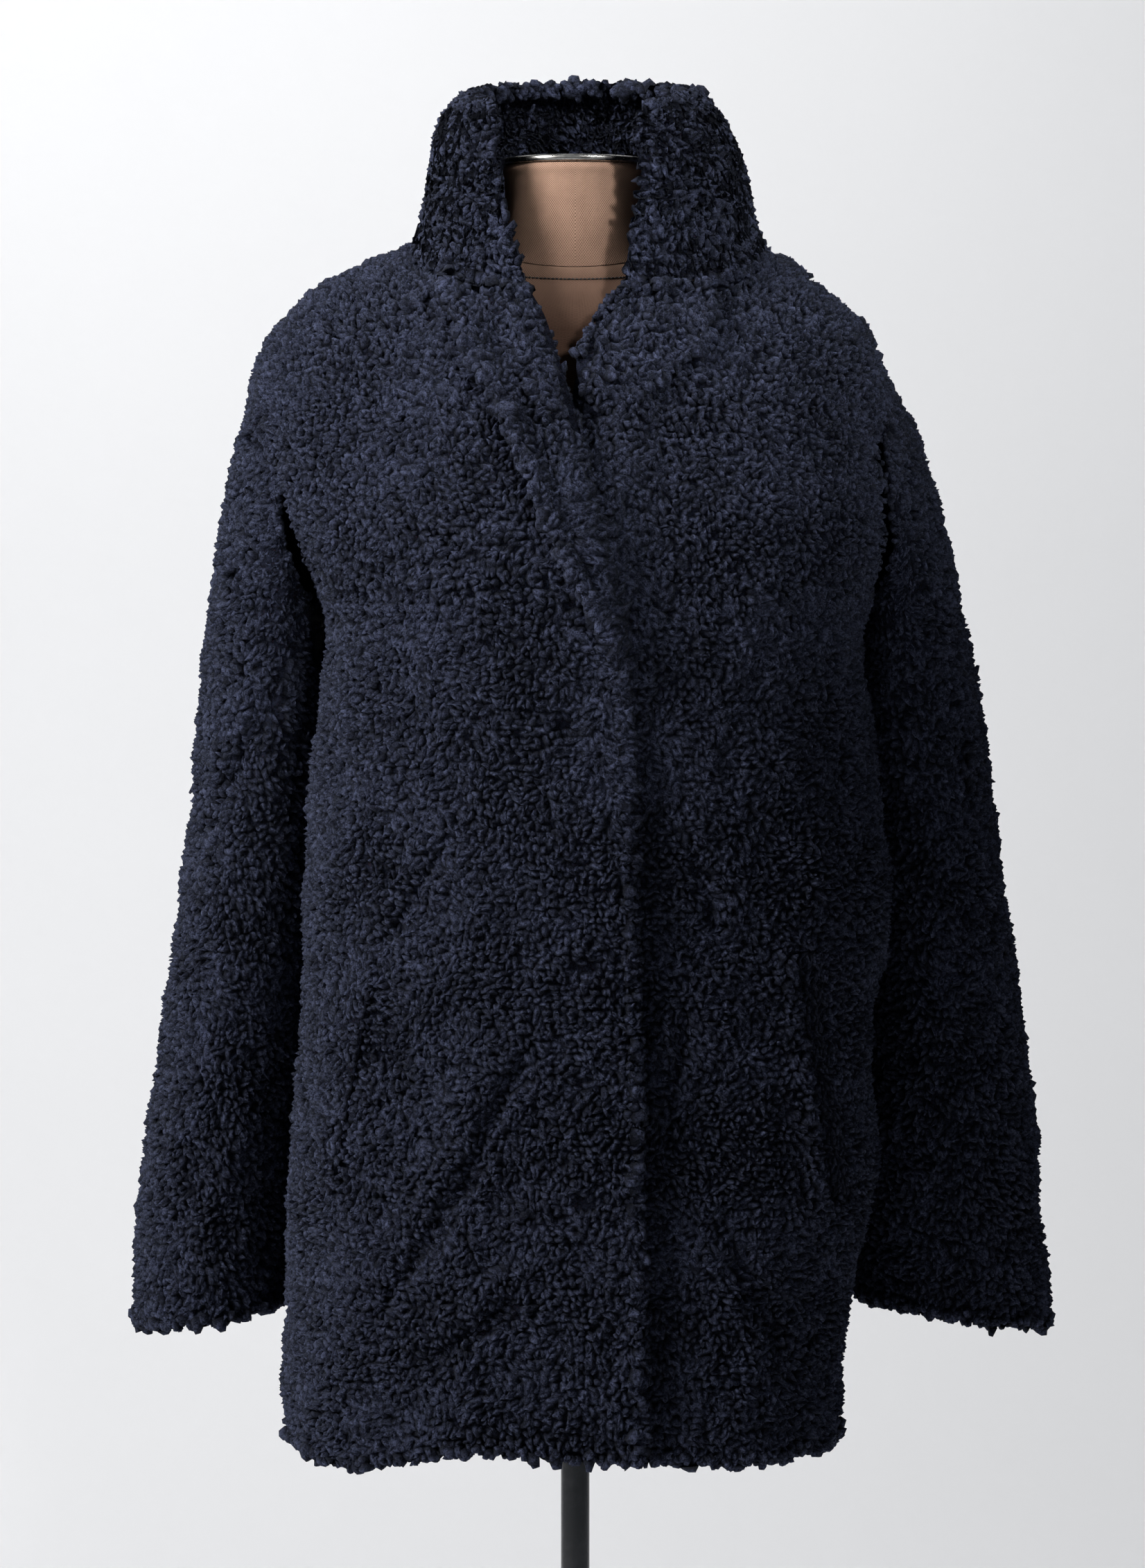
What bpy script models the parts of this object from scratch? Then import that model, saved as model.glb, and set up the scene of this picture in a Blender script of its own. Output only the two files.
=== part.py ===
"""A long coat of curly pile cloth, closed on a limbless dress form and its stand.

Metres, +Z up. The front faces -Y, the wearer's left is +X, and the origin is the middle of the
stand's underside. Angles round the body run from the front, 0, by the wearer's left, 90, to the
back, 180.
"""

import math
from collections import namedtuple

import bmesh
import bpy
import numpy as np

# Cloth sizes
CLOTH = 0.008  # backing and curls together
COLLAR_CLOTH = 0.012  # two layers, sewn back to back
SEAM_GAP = 0.0006  # between two panels, measured across the seam
LAPEL_GAP = 0.0016
STUD_THICKNESS = 0.0030
STUD_RADIUS = 0.0075
STUD_GAP = 0.0012
FRONT_LIFT = CLOTH + STUD_THICKNESS + 2 * STUD_GAP  # the over front, above the under front

# The body's outer face, read upwards. Each row is a rounded section.
BodyRow = namedtuple("BodyRow", "z half x_mid y_mid front back square tilt")
BODY = (
    BodyRow(0.640, 0.1830, -0.0080, -0.030, 0.108, 0.176, 2.35, 0.0),
    BodyRow(0.668, 0.1845, -0.0075, -0.030, 0.110, 0.176, 2.35, 0.0),
    BodyRow(0.767, 0.1870, -0.0020, -0.032, 0.110, 0.177, 2.35, 0.0),
    BodyRow(0.826, 0.1935, 0.0045, -0.034, 0.109, 0.177, 2.30, 0.0),
    BodyRow(0.930, 0.1870, 0.0080, -0.036, 0.108, 0.175, 2.30, 0.0),
    BodyRow(1.012, 0.1905, 0.0135, -0.038, 0.108, 0.173, 2.30, 0.0),
    BodyRow(1.112, 0.1855, 0.0125, -0.038, 0.112, 0.171, 2.30, 0.0),
    BodyRow(1.204, 0.1800, 0.0120, -0.034, 0.118, 0.166, 2.25, 0.0),
    BodyRow(1.261, 0.2010, 0.0080, -0.024, 0.122, 0.151, 2.20, 0.0),
    BodyRow(1.310, 0.2090, 0.0020, -0.013, 0.117, 0.133, 2.10, 0.0),
    BodyRow(1.348, 0.2130, -0.0030, -0.004, 0.109, 0.117, 2.05, 0.0),
    BodyRow(1.372, 0.2050, -0.0030, 0.002, 0.102, 0.107, 2.00, 0.002),
    BodyRow(1.395, 0.1900, -0.0030, 0.006, 0.094, 0.099, 2.00, 0.008),
    BodyRow(1.412, 0.1720, -0.0040, 0.009, 0.088, 0.094, 2.00, 0.016),
    BodyRow(1.425, 0.1510, 0.0000, 0.010, 0.085, 0.090, 2.00, 0.023),
    BodyRow(1.438, 0.1195, 0.0080, 0.011, 0.083, 0.086, 2.00, 0.030),
    BodyRow(1.442, 0.1080, 0.0080, 0.011, 0.082, 0.084, 2.00, 0.031),
)
HEM_Z = 0.657
NECKLINE_Z = 1.4400
SEAM_Y = 0.006  # the side and shoulder seams lie in this plane
UNDERARM_Z = 1.204
DROP_Z = 1.348  # where the armhole crosses the dropped shoulder
ARMHOLE_HALF = 0.064  # half the armhole's depth, front to back

# Soft folds: ridges stand out and hollows go in, growing from the start height to the hem
Fold = namedtuple("Fold", "angle spread start_z full_z out hem_rise")
FOLDS = (
    Fold(-47, 17, 1.10, 0.70, 0.007, -0.004),
    Fold(-13, 15, 1.06, 0.70, -0.004, 0.013),
    Fold(12, 12, 1.06, 0.70, 0.000, 0.005),
    Fold(36, 15, 1.02, 0.70, 0.006, -0.001),
    Fold(128, 18, 1.06, 0.70, 0.007, -0.004),
    Fold(158, 14, 1.10, 0.72, -0.007, 0.005),
    Fold(190, 16, 1.12, 0.70, 0.008, -0.004),
    Fold(226, 17, 1.04, 0.70, -0.006, 0.004),
)
HEM_RISE_REACH = 0.14
PLACE_TURNS = 8  # how often place_on_front closes in on a point

# Where each front ends: the over front's edge shows, the under front's lies beneath it
EdgeRow = namedtuple("EdgeRow", "z over under")
FRONT_EDGES = (
    EdgeRow(0.640, 0.046, -0.046),
    EdgeRow(0.860, 0.043, -0.046),
    EdgeRow(1.000, 0.040, -0.046),
    EdgeRow(1.110, 0.035, -0.046),
    EdgeRow(1.186, 0.030, -0.040),
    EdgeRow(1.260, 0.014, -0.024),
    EdgeRow(1.325, 0.001, -0.004),
    EdgeRow(1.355, -0.008, 0.000),
    EdgeRow(1.390, -0.018, 0.014),
    EdgeRow(1.420, -0.026, 0.023),
    EdgeRow(1.442, -0.032, 0.030),
)
LIFT_FROM_X = -0.125
LIFT_FULL_X = -0.062
LIFT_FADE_Z, LIFT_END_Z = 1.335, 1.425  # the fronts part here, so the lift ends

PANEL_Z = (
    HEM_Z, 0.690, 0.740, 0.790, 0.835, 0.885, 0.930, 0.970, 1.012, 1.062, 1.112, 1.160, UNDERARM_Z,
    1.214, 1.236, 1.265, 1.295, 1.322, 1.341, DROP_Z, 1.362, 1.378, 1.395, 1.408, 1.419, 1.429,
    NECKLINE_Z,
)

# Sleeves from the full ring down to the cuff; outer is the visible edge away from the body
SleeveRow = namedtuple("SleeveRow", "z outer half y_mid girth")
SLEEVE_LEFT = (
    SleeveRow(0.700, 0.3215, 0.0640, 0.046, 0.366),
    SleeveRow(0.728, 0.3220, 0.0635, 0.046, 0.367),
    SleeveRow(0.800, 0.3185, 0.0610, 0.046, 0.370),
    SleeveRow(0.900, 0.3075, 0.0550, 0.047, 0.374),
    SleeveRow(1.000, 0.2940, 0.0490, 0.048, 0.378),
    SleeveRow(1.100, 0.2800, 0.0455, 0.048, 0.384),
    SleeveRow(1.140, 0.2745, 0.0450, 0.046, 0.388),
)
SLEEVE_RIGHT = (
    SleeveRow(0.700, 0.3030, 0.0520, 0.046, 0.366),
    SleeveRow(0.728, 0.3025, 0.0520, 0.046, 0.367),
    SleeveRow(0.800, 0.2975, 0.0515, 0.046, 0.370),
    SleeveRow(0.900, 0.2835, 0.0495, 0.047, 0.374),
    SleeveRow(1.000, 0.2700, 0.0475, 0.048, 0.378),
    SleeveRow(1.100, 0.2560, 0.0455, 0.048, 0.384),
    SleeveRow(1.140, 0.2520, 0.0450, 0.046, 0.388),
)
CUFF_Z = 0.726
RING_TILT = 0.14  # the rings slope down to the outside, square to the leaning sleeve
FULL_RING_Z = 1.100
SLEEVE_LEDGE = 0.0060  # the sleeve head stands this far out from the armhole
CAP_X, CAP_Y, CAP_Z = 0.54, 0.45, 0.33  # where the cap's middle ring lies, of the way down
CAP_STEPS = (0.0, 0.10, 0.24, 0.40, 0.58, 0.78)
SLEEVE_Z = (FULL_RING_Z, 1.040, 0.980, 0.920, 0.860, 0.800, 0.760, CUFF_Z)
SLEEVE_COLUMNS = 22

# The collar, read upwards; each end is an angle from the front
CollarRow = namedtuple("CollarRow", "rise z half x_mid y_mid front back tilt end_right end_left")
COLLAR = (
    CollarRow(0.00, 1.4425, 0.1165, 0.0085, 0.010, 0.090, 0.091, 0.0300, 21.0, 12.0),
    CollarRow(0.15, 1.4560, 0.1110, 0.0085, 0.010, 0.088, 0.089, 0.0255, 25.0, 13.5),
    CollarRow(0.35, 1.4770, 0.1070, 0.0080, 0.010, 0.085, 0.086, 0.0200, 31.0, 17.5),
    CollarRow(0.58, 1.5005, 0.1025, 0.0065, 0.010, 0.082, 0.083, 0.0155, 35.0, 22.0),
    CollarRow(0.80, 1.5240, 0.0945, 0.0035, 0.010, 0.078, 0.080, 0.0125, 37.0, 23.0),
    CollarRow(0.93, 1.5380, 0.0845, 0.0025, 0.010, 0.073, 0.076, 0.0120, 41.0, 29.0),
    CollarRow(1.00, 1.5450, 0.0760, 0.0020, 0.010, 0.068, 0.071, 0.0120, 50.0, 40.0),
)
COLLAR_COLUMNS = 27

# The lapels, read upwards: where the fold line and the free edge lie, seen from the front
LapelRow = namedtuple("LapelRow", "way fold_x fold_z free_x free_z")
LAPEL_LEFT = (
    LapelRow(0, 0.0080, 1.3380, 0.0180, 1.3310),
    LapelRow(1, 0.0020, 1.3500, 0.0420, 1.3430),
    LapelRow(2, 0.0010, 1.3640, 0.0660, 1.3600),
    LapelRow(3, 0.0080, 1.3780, 0.0800, 1.3750),
    LapelRow(4, 0.0160, 1.3920, 0.0865, 1.3900),
    LapelRow(5, 0.0220, 1.4020, 0.0880, 1.4010),
    LapelRow(6, 0.0270, 1.4075, 0.0850, 1.4090),
)
LAPEL_RIGHT = (
    LapelRow(0, 0.0295, 1.1860, 0.0235, 1.1860),
    LapelRow(1, 0.0220, 1.2230, 0.0040, 1.2200),
    LapelRow(2, 0.0110, 1.2760, -0.0220, 1.2720),
    LapelRow(3, -0.0010, 1.3260, -0.0430, 1.3220),
    LapelRow(4, -0.0115, 1.3640, -0.0620, 1.3580),
    LapelRow(5, -0.0200, 1.3930, -0.0790, 1.3880),
    LapelRow(6, -0.0275, 1.4070, -0.0850, 1.4080),
)
LAPEL_ROWS, LAPEL_COLUMNS = 13, 8
LAPEL_PUFF = 0.004

# Pocket welts: the middle line's ends on the body, from the front
WELT_TOP_Z, WELT_BOTTOM_Z = 0.985, 0.828
WELT_LEFT_ANGLES = (45.0, 57.0)  # top and bottom
WELT_RIGHT_ANGLES = (50.0, 56.0)
WELT_WIDTH_ANGLE = 7.0
WELT_GAP, WELT_THICKNESS = 0.0008, 0.0045
WELT_ROWS, WELT_COLUMNS = 8, 4

# Press studs between the fronts
Stud = namedtuple("Stud", "name x z")
STUDS = (
    Stud("press_stud_top", -0.006, 1.128),
    Stud("press_stud_middle", 0.000, 0.990),
    Stud("press_stud_bottom", 0.003, 0.842),
)

# The dress form under the coat, read upwards
FormRow = namedtuple("FormRow", "z half y_mid front back tilt")
FORM = (
    FormRow(0.790, 0.1500, 0.004, 0.094, 0.106, 0.0),
    FormRow(0.850, 0.1530, 0.004, 0.096, 0.108, 0.0),
    FormRow(0.930, 0.1420, 0.002, 0.090, 0.096, 0.0),
    FormRow(1.030, 0.1130, 0.000, 0.082, 0.078, 0.0),
    FormRow(1.120, 0.1260, -0.002, 0.098, 0.084, 0.0),
    FormRow(1.200, 0.1380, -0.002, 0.112, 0.094, 0.0),
    FormRow(1.270, 0.1500, 0.000, 0.098, 0.098, 0.0),
    FormRow(1.330, 0.1640, 0.004, 0.082, 0.092, 0.0),
    FormRow(1.365, 0.1700, 0.006, 0.074, 0.084, 0.0),
    FormRow(1.388, 0.1600, 0.008, 0.066, 0.074, 0.002),
    FormRow(1.404, 0.1380, 0.008, 0.060, 0.066, 0.005),
    FormRow(1.417, 0.1040, 0.006, 0.056, 0.060, 0.009),
    FormRow(1.427, 0.0740, 0.005, 0.053, 0.056, 0.012),
    FormRow(1.437, 0.0570, 0.004, 0.051, 0.052, 0.013),
)
NECK_SEAM_Z, NECK_SEAM_HALF, NECK_SEAM_DEPTH, NECK_TILT = 1.440, 0.0540, 0.0500, 0.0140
NECK_Y = 0.004
NECK_RADIUS = 0.0470
NECK_WAIST_RADIUS = 0.0465
NECK_TOP_Z = 1.4945
CAP_RADIUS, CAP_THICKNESS, CAP_EDGE = 0.0485, 0.0044, 0.0012
FORM_GAP = 0.0004
FORM_COLUMNS = 32
FORM_STEPS = 2

# The stand
SOCKET_RADIUS, SOCKET_HEIGHT = 0.024, 0.022
POLE_RADIUS = 0.0096
BASE_RADIUS, BASE_THICKNESS, BASE_EDGE = 0.180, 0.012, 0.003
ROUND_SIDES = 32


# Reading the tables
def track(rows, column, along="z"):
    """A smooth curve through one column of a table, read along another."""
    knots = np.array([getattr(row, along) for row in rows], float)
    values = np.array([getattr(row, column) for row in rows], float)
    slopes = np.gradient(values, knots)

    def at(place):
        place = np.clip(np.asarray(place, float), knots[0], knots[-1])
        i = np.clip(np.searchsorted(knots, place) - 1, 0, len(knots) - 2)
        width = knots[i + 1] - knots[i]
        t = (place - knots[i]) / width
        rise = t * t * (3 - 2 * t)
        bend = slopes[i] * t * (1 - t) ** 2 - slopes[i + 1] * t * t * (1 - t)
        return values[i] * (1 - rise) + values[i + 1] * rise + width * bend

    return at


def tracks(rows, along="z"):
    return {name: track(rows, name, along) for name in rows[0]._fields if name != along}


def ease(t):
    t = np.clip(t, 0, 1)
    return t * t * (3 - 2 * t)


def signed_power(value, exponent):
    return np.sign(value) * np.abs(value) ** exponent


# The body's outer face
BODY_AT = tracks(BODY)
EDGE_AT = tracks(FRONT_EDGES)


def body_point(theta, z):
    """The outer face at an angle from the front and a row height."""
    power = 2 / BODY_AT["square"](z)
    turn_x, turn_y = np.sin(theta), -np.cos(theta)
    depth = np.where(turn_y < 0, BODY_AT["front"](z), BODY_AT["back"](z))
    x = BODY_AT["x_mid"](z) + BODY_AT["half"](z) * signed_power(turn_x, power)
    y = BODY_AT["y_mid"](z) + depth * signed_power(turn_y, power)
    height = z + BODY_AT["tilt"](z) * turn_y
    for fold in FOLDS:
        away = np.degrees(np.angle(np.exp(1j * (theta - math.radians(fold.angle)))))
        shape = np.exp(-((away / fold.spread) ** 2))
        grown = fold.out * shape * ease((fold.start_z - z) / (fold.start_z - fold.full_z))
        x, y = x + grown * turn_x, y + grown * turn_y
        height = height + fold.hem_rise * shape * ease(1 - (z - HEM_Z) / HEM_RISE_REACH)
    return np.stack(np.broadcast_arrays(x, y, height), -1)


def outward(surface, u, v, step=1e-4):
    """The unit normal of a surface whose two readings turn to the outside."""
    along_u = surface(u + step, v) - surface(u - step, v)
    along_v = surface(u, v + step) - surface(u, v - step)
    normal = np.cross(along_u, along_v)
    return normal / np.linalg.norm(normal, axis=-1, keepdims=True)


def raised(surface, u, v, out):
    return surface(u, v) + np.asarray(out)[..., None] * outward(surface, u, v)


def angle_at_x(x, z):
    share = (x - BODY_AT["x_mid"](z)) / BODY_AT["half"](z)
    return np.arcsin(signed_power(share, BODY_AT["square"](z) / 2))


def place_on_front(x, height):
    """The angle and row height of the body's point seen at this x and height from the front."""
    z = np.array(height)
    for _ in range(PLACE_TURNS):
        theta = angle_at_x(x, z)
        z = z + height - body_point(theta, z)[..., 2]
    return angle_at_x(x, z), z


def angle_at_y(y, z):
    """The angle on the wearer's left whose point lies at this depth."""
    ahead = BODY_AT["y_mid"](z) - y
    depth = np.where(ahead > 0, BODY_AT["front"](z), BODY_AT["back"](z))
    return np.arccos(signed_power(ahead / depth, BODY_AT["square"](z) / 2))


def side_angles(z):
    """The front panel's end and the back panel's start at a row, clear of the armhole or seam."""
    t = np.clip((z - UNDERARM_Z) / (DROP_Z - UNDERARM_Z), 0, 1)
    half_open = np.maximum(ARMHOLE_HALF * np.sqrt(4 * t * (1 - t)), SEAM_GAP / 2)
    return angle_at_y(SEAM_Y - half_open, z), angle_at_y(SEAM_Y + half_open, z)


def lift_at(x, z):
    fade = ease((LIFT_END_Z - z) / (LIFT_END_Z - LIFT_FADE_Z))
    return FRONT_LIFT * fade * ease((x - LIFT_FROM_X) / (LIFT_FULL_X - LIFT_FROM_X))


# Making meshes
def object_of(name, bm, material):
    bmesh.ops.recalc_face_normals(bm, faces=bm.faces)
    mesh = bpy.data.meshes.new(name)
    bm.to_mesh(mesh)
    bm.free()
    made = bpy.data.objects.new(name, mesh)
    made.data.materials.append(material)
    PARTS.objects.link(made)
    return made


def wall(name, outer, inner, material, round_about=False):
    """A closed cloth wall between two grids of points, read by row and column."""
    rows, columns = outer.shape[:2]
    bm = bmesh.new()
    faces = [[[bm.verts.new(p) for p in row] for row in grid] for grid in (outer, inner)]
    spans = [(j, (j + 1) % columns) for j in range(columns if round_about else columns - 1)]
    for i in range(rows - 1):
        for a, b in spans:
            for grid in faces:
                bm.faces.new((grid[i][a], grid[i][b], grid[i + 1][b], grid[i + 1][a]))
    for i in (0, rows - 1):
        for a, b in spans:
            bm.faces.new((faces[0][i][a], faces[0][i][b], faces[1][i][b], faces[1][i][a]))
    for j in () if round_about else (0, columns - 1):
        for i in range(rows - 1):
            low, high = (faces[0][i][j], faces[1][i][j]), (faces[1][i + 1][j], faces[0][i + 1][j])
            bm.faces.new(low + high)
    return object_of(name, bm, material)


def loft(name, rings, material):
    """A filled form through closed rings, read upwards."""
    bm = bmesh.new()
    made = [[bm.verts.new(p) for p in ring] for ring in rings]
    for low, high in zip(made, made[1:]):
        for j in range(len(low)):
            k = (j + 1) % len(low)
            bm.faces.new((low[j], low[k], high[k], high[j]))
    bm.faces.new(made[0])
    bm.faces.new(made[-1])
    return object_of(name, bm, material)


def cylinder(name, radius, bottom, top, material, bevel=0.0, middle=(0.0, 0.0)):
    bm = bmesh.new()
    bmesh.ops.create_cone(
        bm, cap_ends=True, segments=ROUND_SIDES, radius1=radius, radius2=radius, depth=top - bottom
    )
    bmesh.ops.translate(bm, verts=bm.verts, vec=(*middle, (bottom + top) / 2))
    made = object_of(name, bm, material)
    if bevel:
        rounded = made.modifiers.new("rounded edge", "BEVEL")
        rounded.width, rounded.segments, rounded.limit_method = bevel, 2, "ANGLE"
    return made


def material_of(name, colour, roughness, metallic=0.0):
    made = bpy.data.materials.new(name)
    made.use_nodes = True
    shader = made.node_tree.nodes["Principled BSDF"]
    shader.inputs["Base Color"].default_value = (*colour, 1)
    shader.inputs["Roughness"].default_value = roughness
    shader.inputs["Metallic"].default_value = metallic
    return made


# Panels of the body
def panel(name, starts, ends, columns, material, lift=None):
    """A panel between two lists of angles, one pair for each row of PANEL_Z."""
    z = np.array(PANEL_Z)[:, None] * np.ones(columns)
    share = np.linspace(0, 1, columns)
    theta = starts[:, None] * (1 - share) + ends[:, None] * share
    out = lift_at(body_point(theta, z)[..., 0], z) if lift else np.zeros_like(theta)
    outer = raised(body_point, theta, z, out)
    inner = raised(body_point, theta, z, out - CLOTH)
    wall(name, outer, inner, material)


def make_body(material):
    z = np.array(PANEL_Z)
    front_end, back_start = side_angles(z)
    over_edge, under_edge = angle_at_x(EDGE_AT["over"](z), z), angle_at_x(EDGE_AT["under"](z), z)
    panel("front_right", -front_end, over_edge, 13, material, lift=True)
    panel("front_left", under_edge, front_end, 13, material)
    panel("back", back_start, 2 * math.pi - back_start, 19, material)


# Sleeves
def sleeve_surface(rows, side):
    """The sleeve's outer face, read by the angle round it and the way up from cuff to armhole."""
    at = tracks(rows)
    end = len(SLEEVE_Z) - 1
    way_z = track([namedtuple("Way", "way z")(i, z) for i, z in enumerate(SLEEVE_Z[::-1])], "z", "way")
    cap = [namedtuple("Cap", "way t")(end + i, 1 - t) for i, t in enumerate((1.0, *CAP_STEPS[::-1]))]
    cap_t = track(cap, "t", "way")

    def ring(psi, z):
        half = at["half"](z)
        half_depth = np.sqrt(2 * (at["girth"](z) / (2 * math.pi)) ** 2 - half**2)
        middle = side * (at["outer"](z) - half)
        x, y = middle + half * np.sin(psi), at["y_mid"](z) - half_depth * np.cos(psi)
        height = z - RING_TILT * half * side * np.sin(psi)
        return np.stack(np.broadcast_arrays(x, y, height), -1)

    def armhole(psi):
        t = 0.5 + 0.5 * side * np.sin(psi)
        z = UNDERARM_Z + t * (DROP_Z - UNDERARM_Z)
        y = SEAM_Y - ARMHOLE_HALF * np.cos(psi)
        point = body_point(side * angle_at_y(y, z), z)
        return point + np.array((side * SLEEVE_LEDGE, 0, 0))

    def surface(psi, way):
        psi, way = np.broadcast_arrays(np.asarray(psi, float), np.asarray(way, float))
        low = ring(psi, way_z(np.minimum(way, end)))
        first, last = armhole(psi), ring(psi, np.full_like(psi, FULL_RING_Z))
        middle = first + (last - first) * np.array((CAP_X, CAP_Y, CAP_Z))
        t = cap_t(np.maximum(way, end))[..., None]
        high = t**2 * first + 2 * t * (1 - t) * middle + (1 - t) ** 2 * last
        return np.where((way > end)[..., None], high, low)

    return surface, end + len(CAP_STEPS)


def make_sleeve(name, rows, side, material):
    surface, top = sleeve_surface(rows, side)
    psi, way = np.meshgrid(
        np.linspace(0, 2 * math.pi, SLEEVE_COLUMNS, endpoint=False), np.arange(top + 1.0)
    )
    outer = surface(psi, way)
    inner = raised(surface, psi, way, np.full_like(psi, -CLOTH))
    wall(name, outer, inner, material, round_about=True)


# Collar and lapels
COLLAR_AT = tracks(COLLAR, "rise")


def collar_point(theta, rise):
    turn_x, turn_y = np.sin(theta), -np.cos(theta)
    depth = np.where(turn_y < 0, COLLAR_AT["front"](rise), COLLAR_AT["back"](rise))
    x = COLLAR_AT["x_mid"](rise) + COLLAR_AT["half"](rise) * turn_x
    y = COLLAR_AT["y_mid"](rise) + depth * turn_y
    height = COLLAR_AT["z"](rise) + COLLAR_AT["tilt"](rise) * turn_y
    return np.stack(np.broadcast_arrays(x, y, height), -1)


def make_collar(material):
    rise = np.array([row.rise for row in COLLAR])[:, None] * np.ones(COLLAR_COLUMNS)
    share = np.linspace(0, 1, COLLAR_COLUMNS)
    left, right = np.radians(COLLAR_AT["end_left"](rise)), np.radians(COLLAR_AT["end_right"](rise))
    theta = left * (1 - share) + (2 * math.pi - right) * share
    outer = collar_point(theta, rise)
    inner = raised(collar_point, theta, rise, np.full_like(theta, -COLLAR_CLOTH))
    wall("collar", outer, inner, material)


def make_lapel(name, rows, lifted, material):
    at = tracks(rows, "way")
    way = np.linspace(0, len(rows) - 1, LAPEL_ROWS)[:, None]
    share = np.linspace(0, 1, LAPEL_COLUMNS)
    x = at["fold_x"](way) * (1 - share) + at["free_x"](way) * share
    theta, z = place_on_front(x, at["fold_z"](way) * (1 - share) + at["free_z"](way) * share)
    puff = LAPEL_PUFF * np.sin(math.pi * share) * np.ones_like(z)
    under = LAPEL_GAP + (lift_at(x, z) if lifted else 0)
    outer = raised(body_point, theta, z, under + puff + CLOTH)
    wall(name, outer, raised(body_point, theta, z, under + puff), material)


# Small pieces
def make_welt(name, side, angles, material):
    way = np.linspace(0, 1, WELT_ROWS)[:, None]
    across = np.linspace(-0.5, 0.5, WELT_COLUMNS)
    z = WELT_BOTTOM_Z + (WELT_TOP_Z - WELT_BOTTOM_Z) * way + 0 * across
    middle = angles[1] + (angles[0] - angles[1]) * way
    theta = side * np.radians(middle + WELT_WIDTH_ANGLE * across)
    out = np.full_like(theta, WELT_GAP)
    inner = raised(body_point, theta, z, out)
    wall(name, raised(body_point, theta, z, out + WELT_THICKNESS), inner, material)


def make_stud(stud, material):
    theta = angle_at_x(stud.x, stud.z)
    direction = outward(body_point, theta, stud.z)
    middle = raised(body_point, theta, stud.z, STUD_GAP + STUD_THICKNESS / 2)
    made = cylinder(
        stud.name, STUD_RADIUS, -STUD_THICKNESS / 2, STUD_THICKNESS / 2, material
    )
    made.location = middle
    turn = -math.atan2(direction[0], -direction[1])
    made.rotation_euler = (math.pi / 2 + math.asin(direction[2]), 0, -turn)


def make_form(canvas, steel, black):
    at = tracks(FORM)
    theta = np.linspace(0, 2 * math.pi, FORM_COLUMNS, endpoint=False)
    turn_x, turn_y = np.sin(theta), -np.cos(theta)
    rings = []
    places = np.interp(
        np.linspace(0, len(FORM) - 1, FORM_STEPS * (len(FORM) - 1) + 1),
        np.arange(len(FORM)),
        [row.z for row in FORM],
    )
    for z in places:
        depth = np.where(turn_y < 0, at["front"](z), at["back"](z))
        x, y = at["half"](z) * turn_x, at["y_mid"](z) + depth * turn_y
        rings.append(np.stack((x, y, z + at["tilt"](z) * turn_y), -1))
    x, y = NECK_SEAM_HALF * turn_x, NECK_Y + NECK_SEAM_DEPTH * turn_y
    seam = np.stack((x, y, NECK_SEAM_Z + NECK_TILT * turn_y), -1)
    rings.append(seam)
    loft("form_torso", rings, canvas)
    neck = [seam + np.array((0, 0, FORM_GAP))]
    for z, radius in ((1.470, NECK_WAIST_RADIUS), (NECK_TOP_Z, NECK_RADIUS)):
        neck.append(
            np.stack((radius * turn_x, NECK_Y + radius * turn_y, np.full_like(turn_x, z)), -1)
        )
    loft("form_neck", neck, canvas)
    bottom = NECK_TOP_Z + FORM_GAP
    cylinder(
        "form_neck_cap", CAP_RADIUS, bottom, bottom + CAP_THICKNESS, steel, CAP_EDGE, (0, NECK_Y)
    )
    socket_top = FORM[0].z - FORM_GAP
    socket_bottom = socket_top - SOCKET_HEIGHT
    cylinder("stand_socket", SOCKET_RADIUS, socket_bottom, socket_top, black, CAP_EDGE)
    cylinder("stand_pole", POLE_RADIUS, BASE_THICKNESS + FORM_GAP, socket_bottom - FORM_GAP, black)
    cylinder("stand_base", BASE_RADIUS, 0, BASE_THICKNESS, black, BASE_EDGE)


for old in list(bpy.data.objects):
    bpy.data.objects.remove(old, do_unlink=True)
PARTS = bpy.data.collections.new("long coat on a dress form")
bpy.context.scene.collection.children.link(PARTS)

pile = material_of("navy pile", (0.012, 0.015, 0.028), 0.9)
canvas = material_of("canvas", (0.46, 0.33, 0.25), 0.85)
steel = material_of("dull steel", (0.42, 0.40, 0.37), 0.4, 1.0)
black = material_of("black enamel", (0.02, 0.022, 0.025), 0.35)
make_body(pile)
make_sleeve("sleeve_left", SLEEVE_LEFT, 1, pile)
make_sleeve("sleeve_right", SLEEVE_RIGHT, -1, pile)
make_collar(pile)
make_lapel("lapel_left", LAPEL_LEFT, False, pile)
make_lapel("lapel_right", LAPEL_RIGHT, True, pile)
make_welt("pocket_welt_left", 1, WELT_LEFT_ANGLES, pile)
make_welt("pocket_welt_right", -1, WELT_RIGHT_ANGLES, pile)
for stud in STUDS:
    make_stud(stud, black)
make_form(canvas, steel, black)
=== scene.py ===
# %% [markdown]
# # A navy coat of curly pile on a dress form
#
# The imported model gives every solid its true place, in metres. This lesson keeps that frame and
# gives each solid the surface of the real thing. The coat is a knitted backing with small curls
# standing on it, so each panel becomes a thin shell with curls of its own, and the form below is
# canvas, steel and black enamel.

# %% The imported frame
import math
from collections import namedtuple

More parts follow.
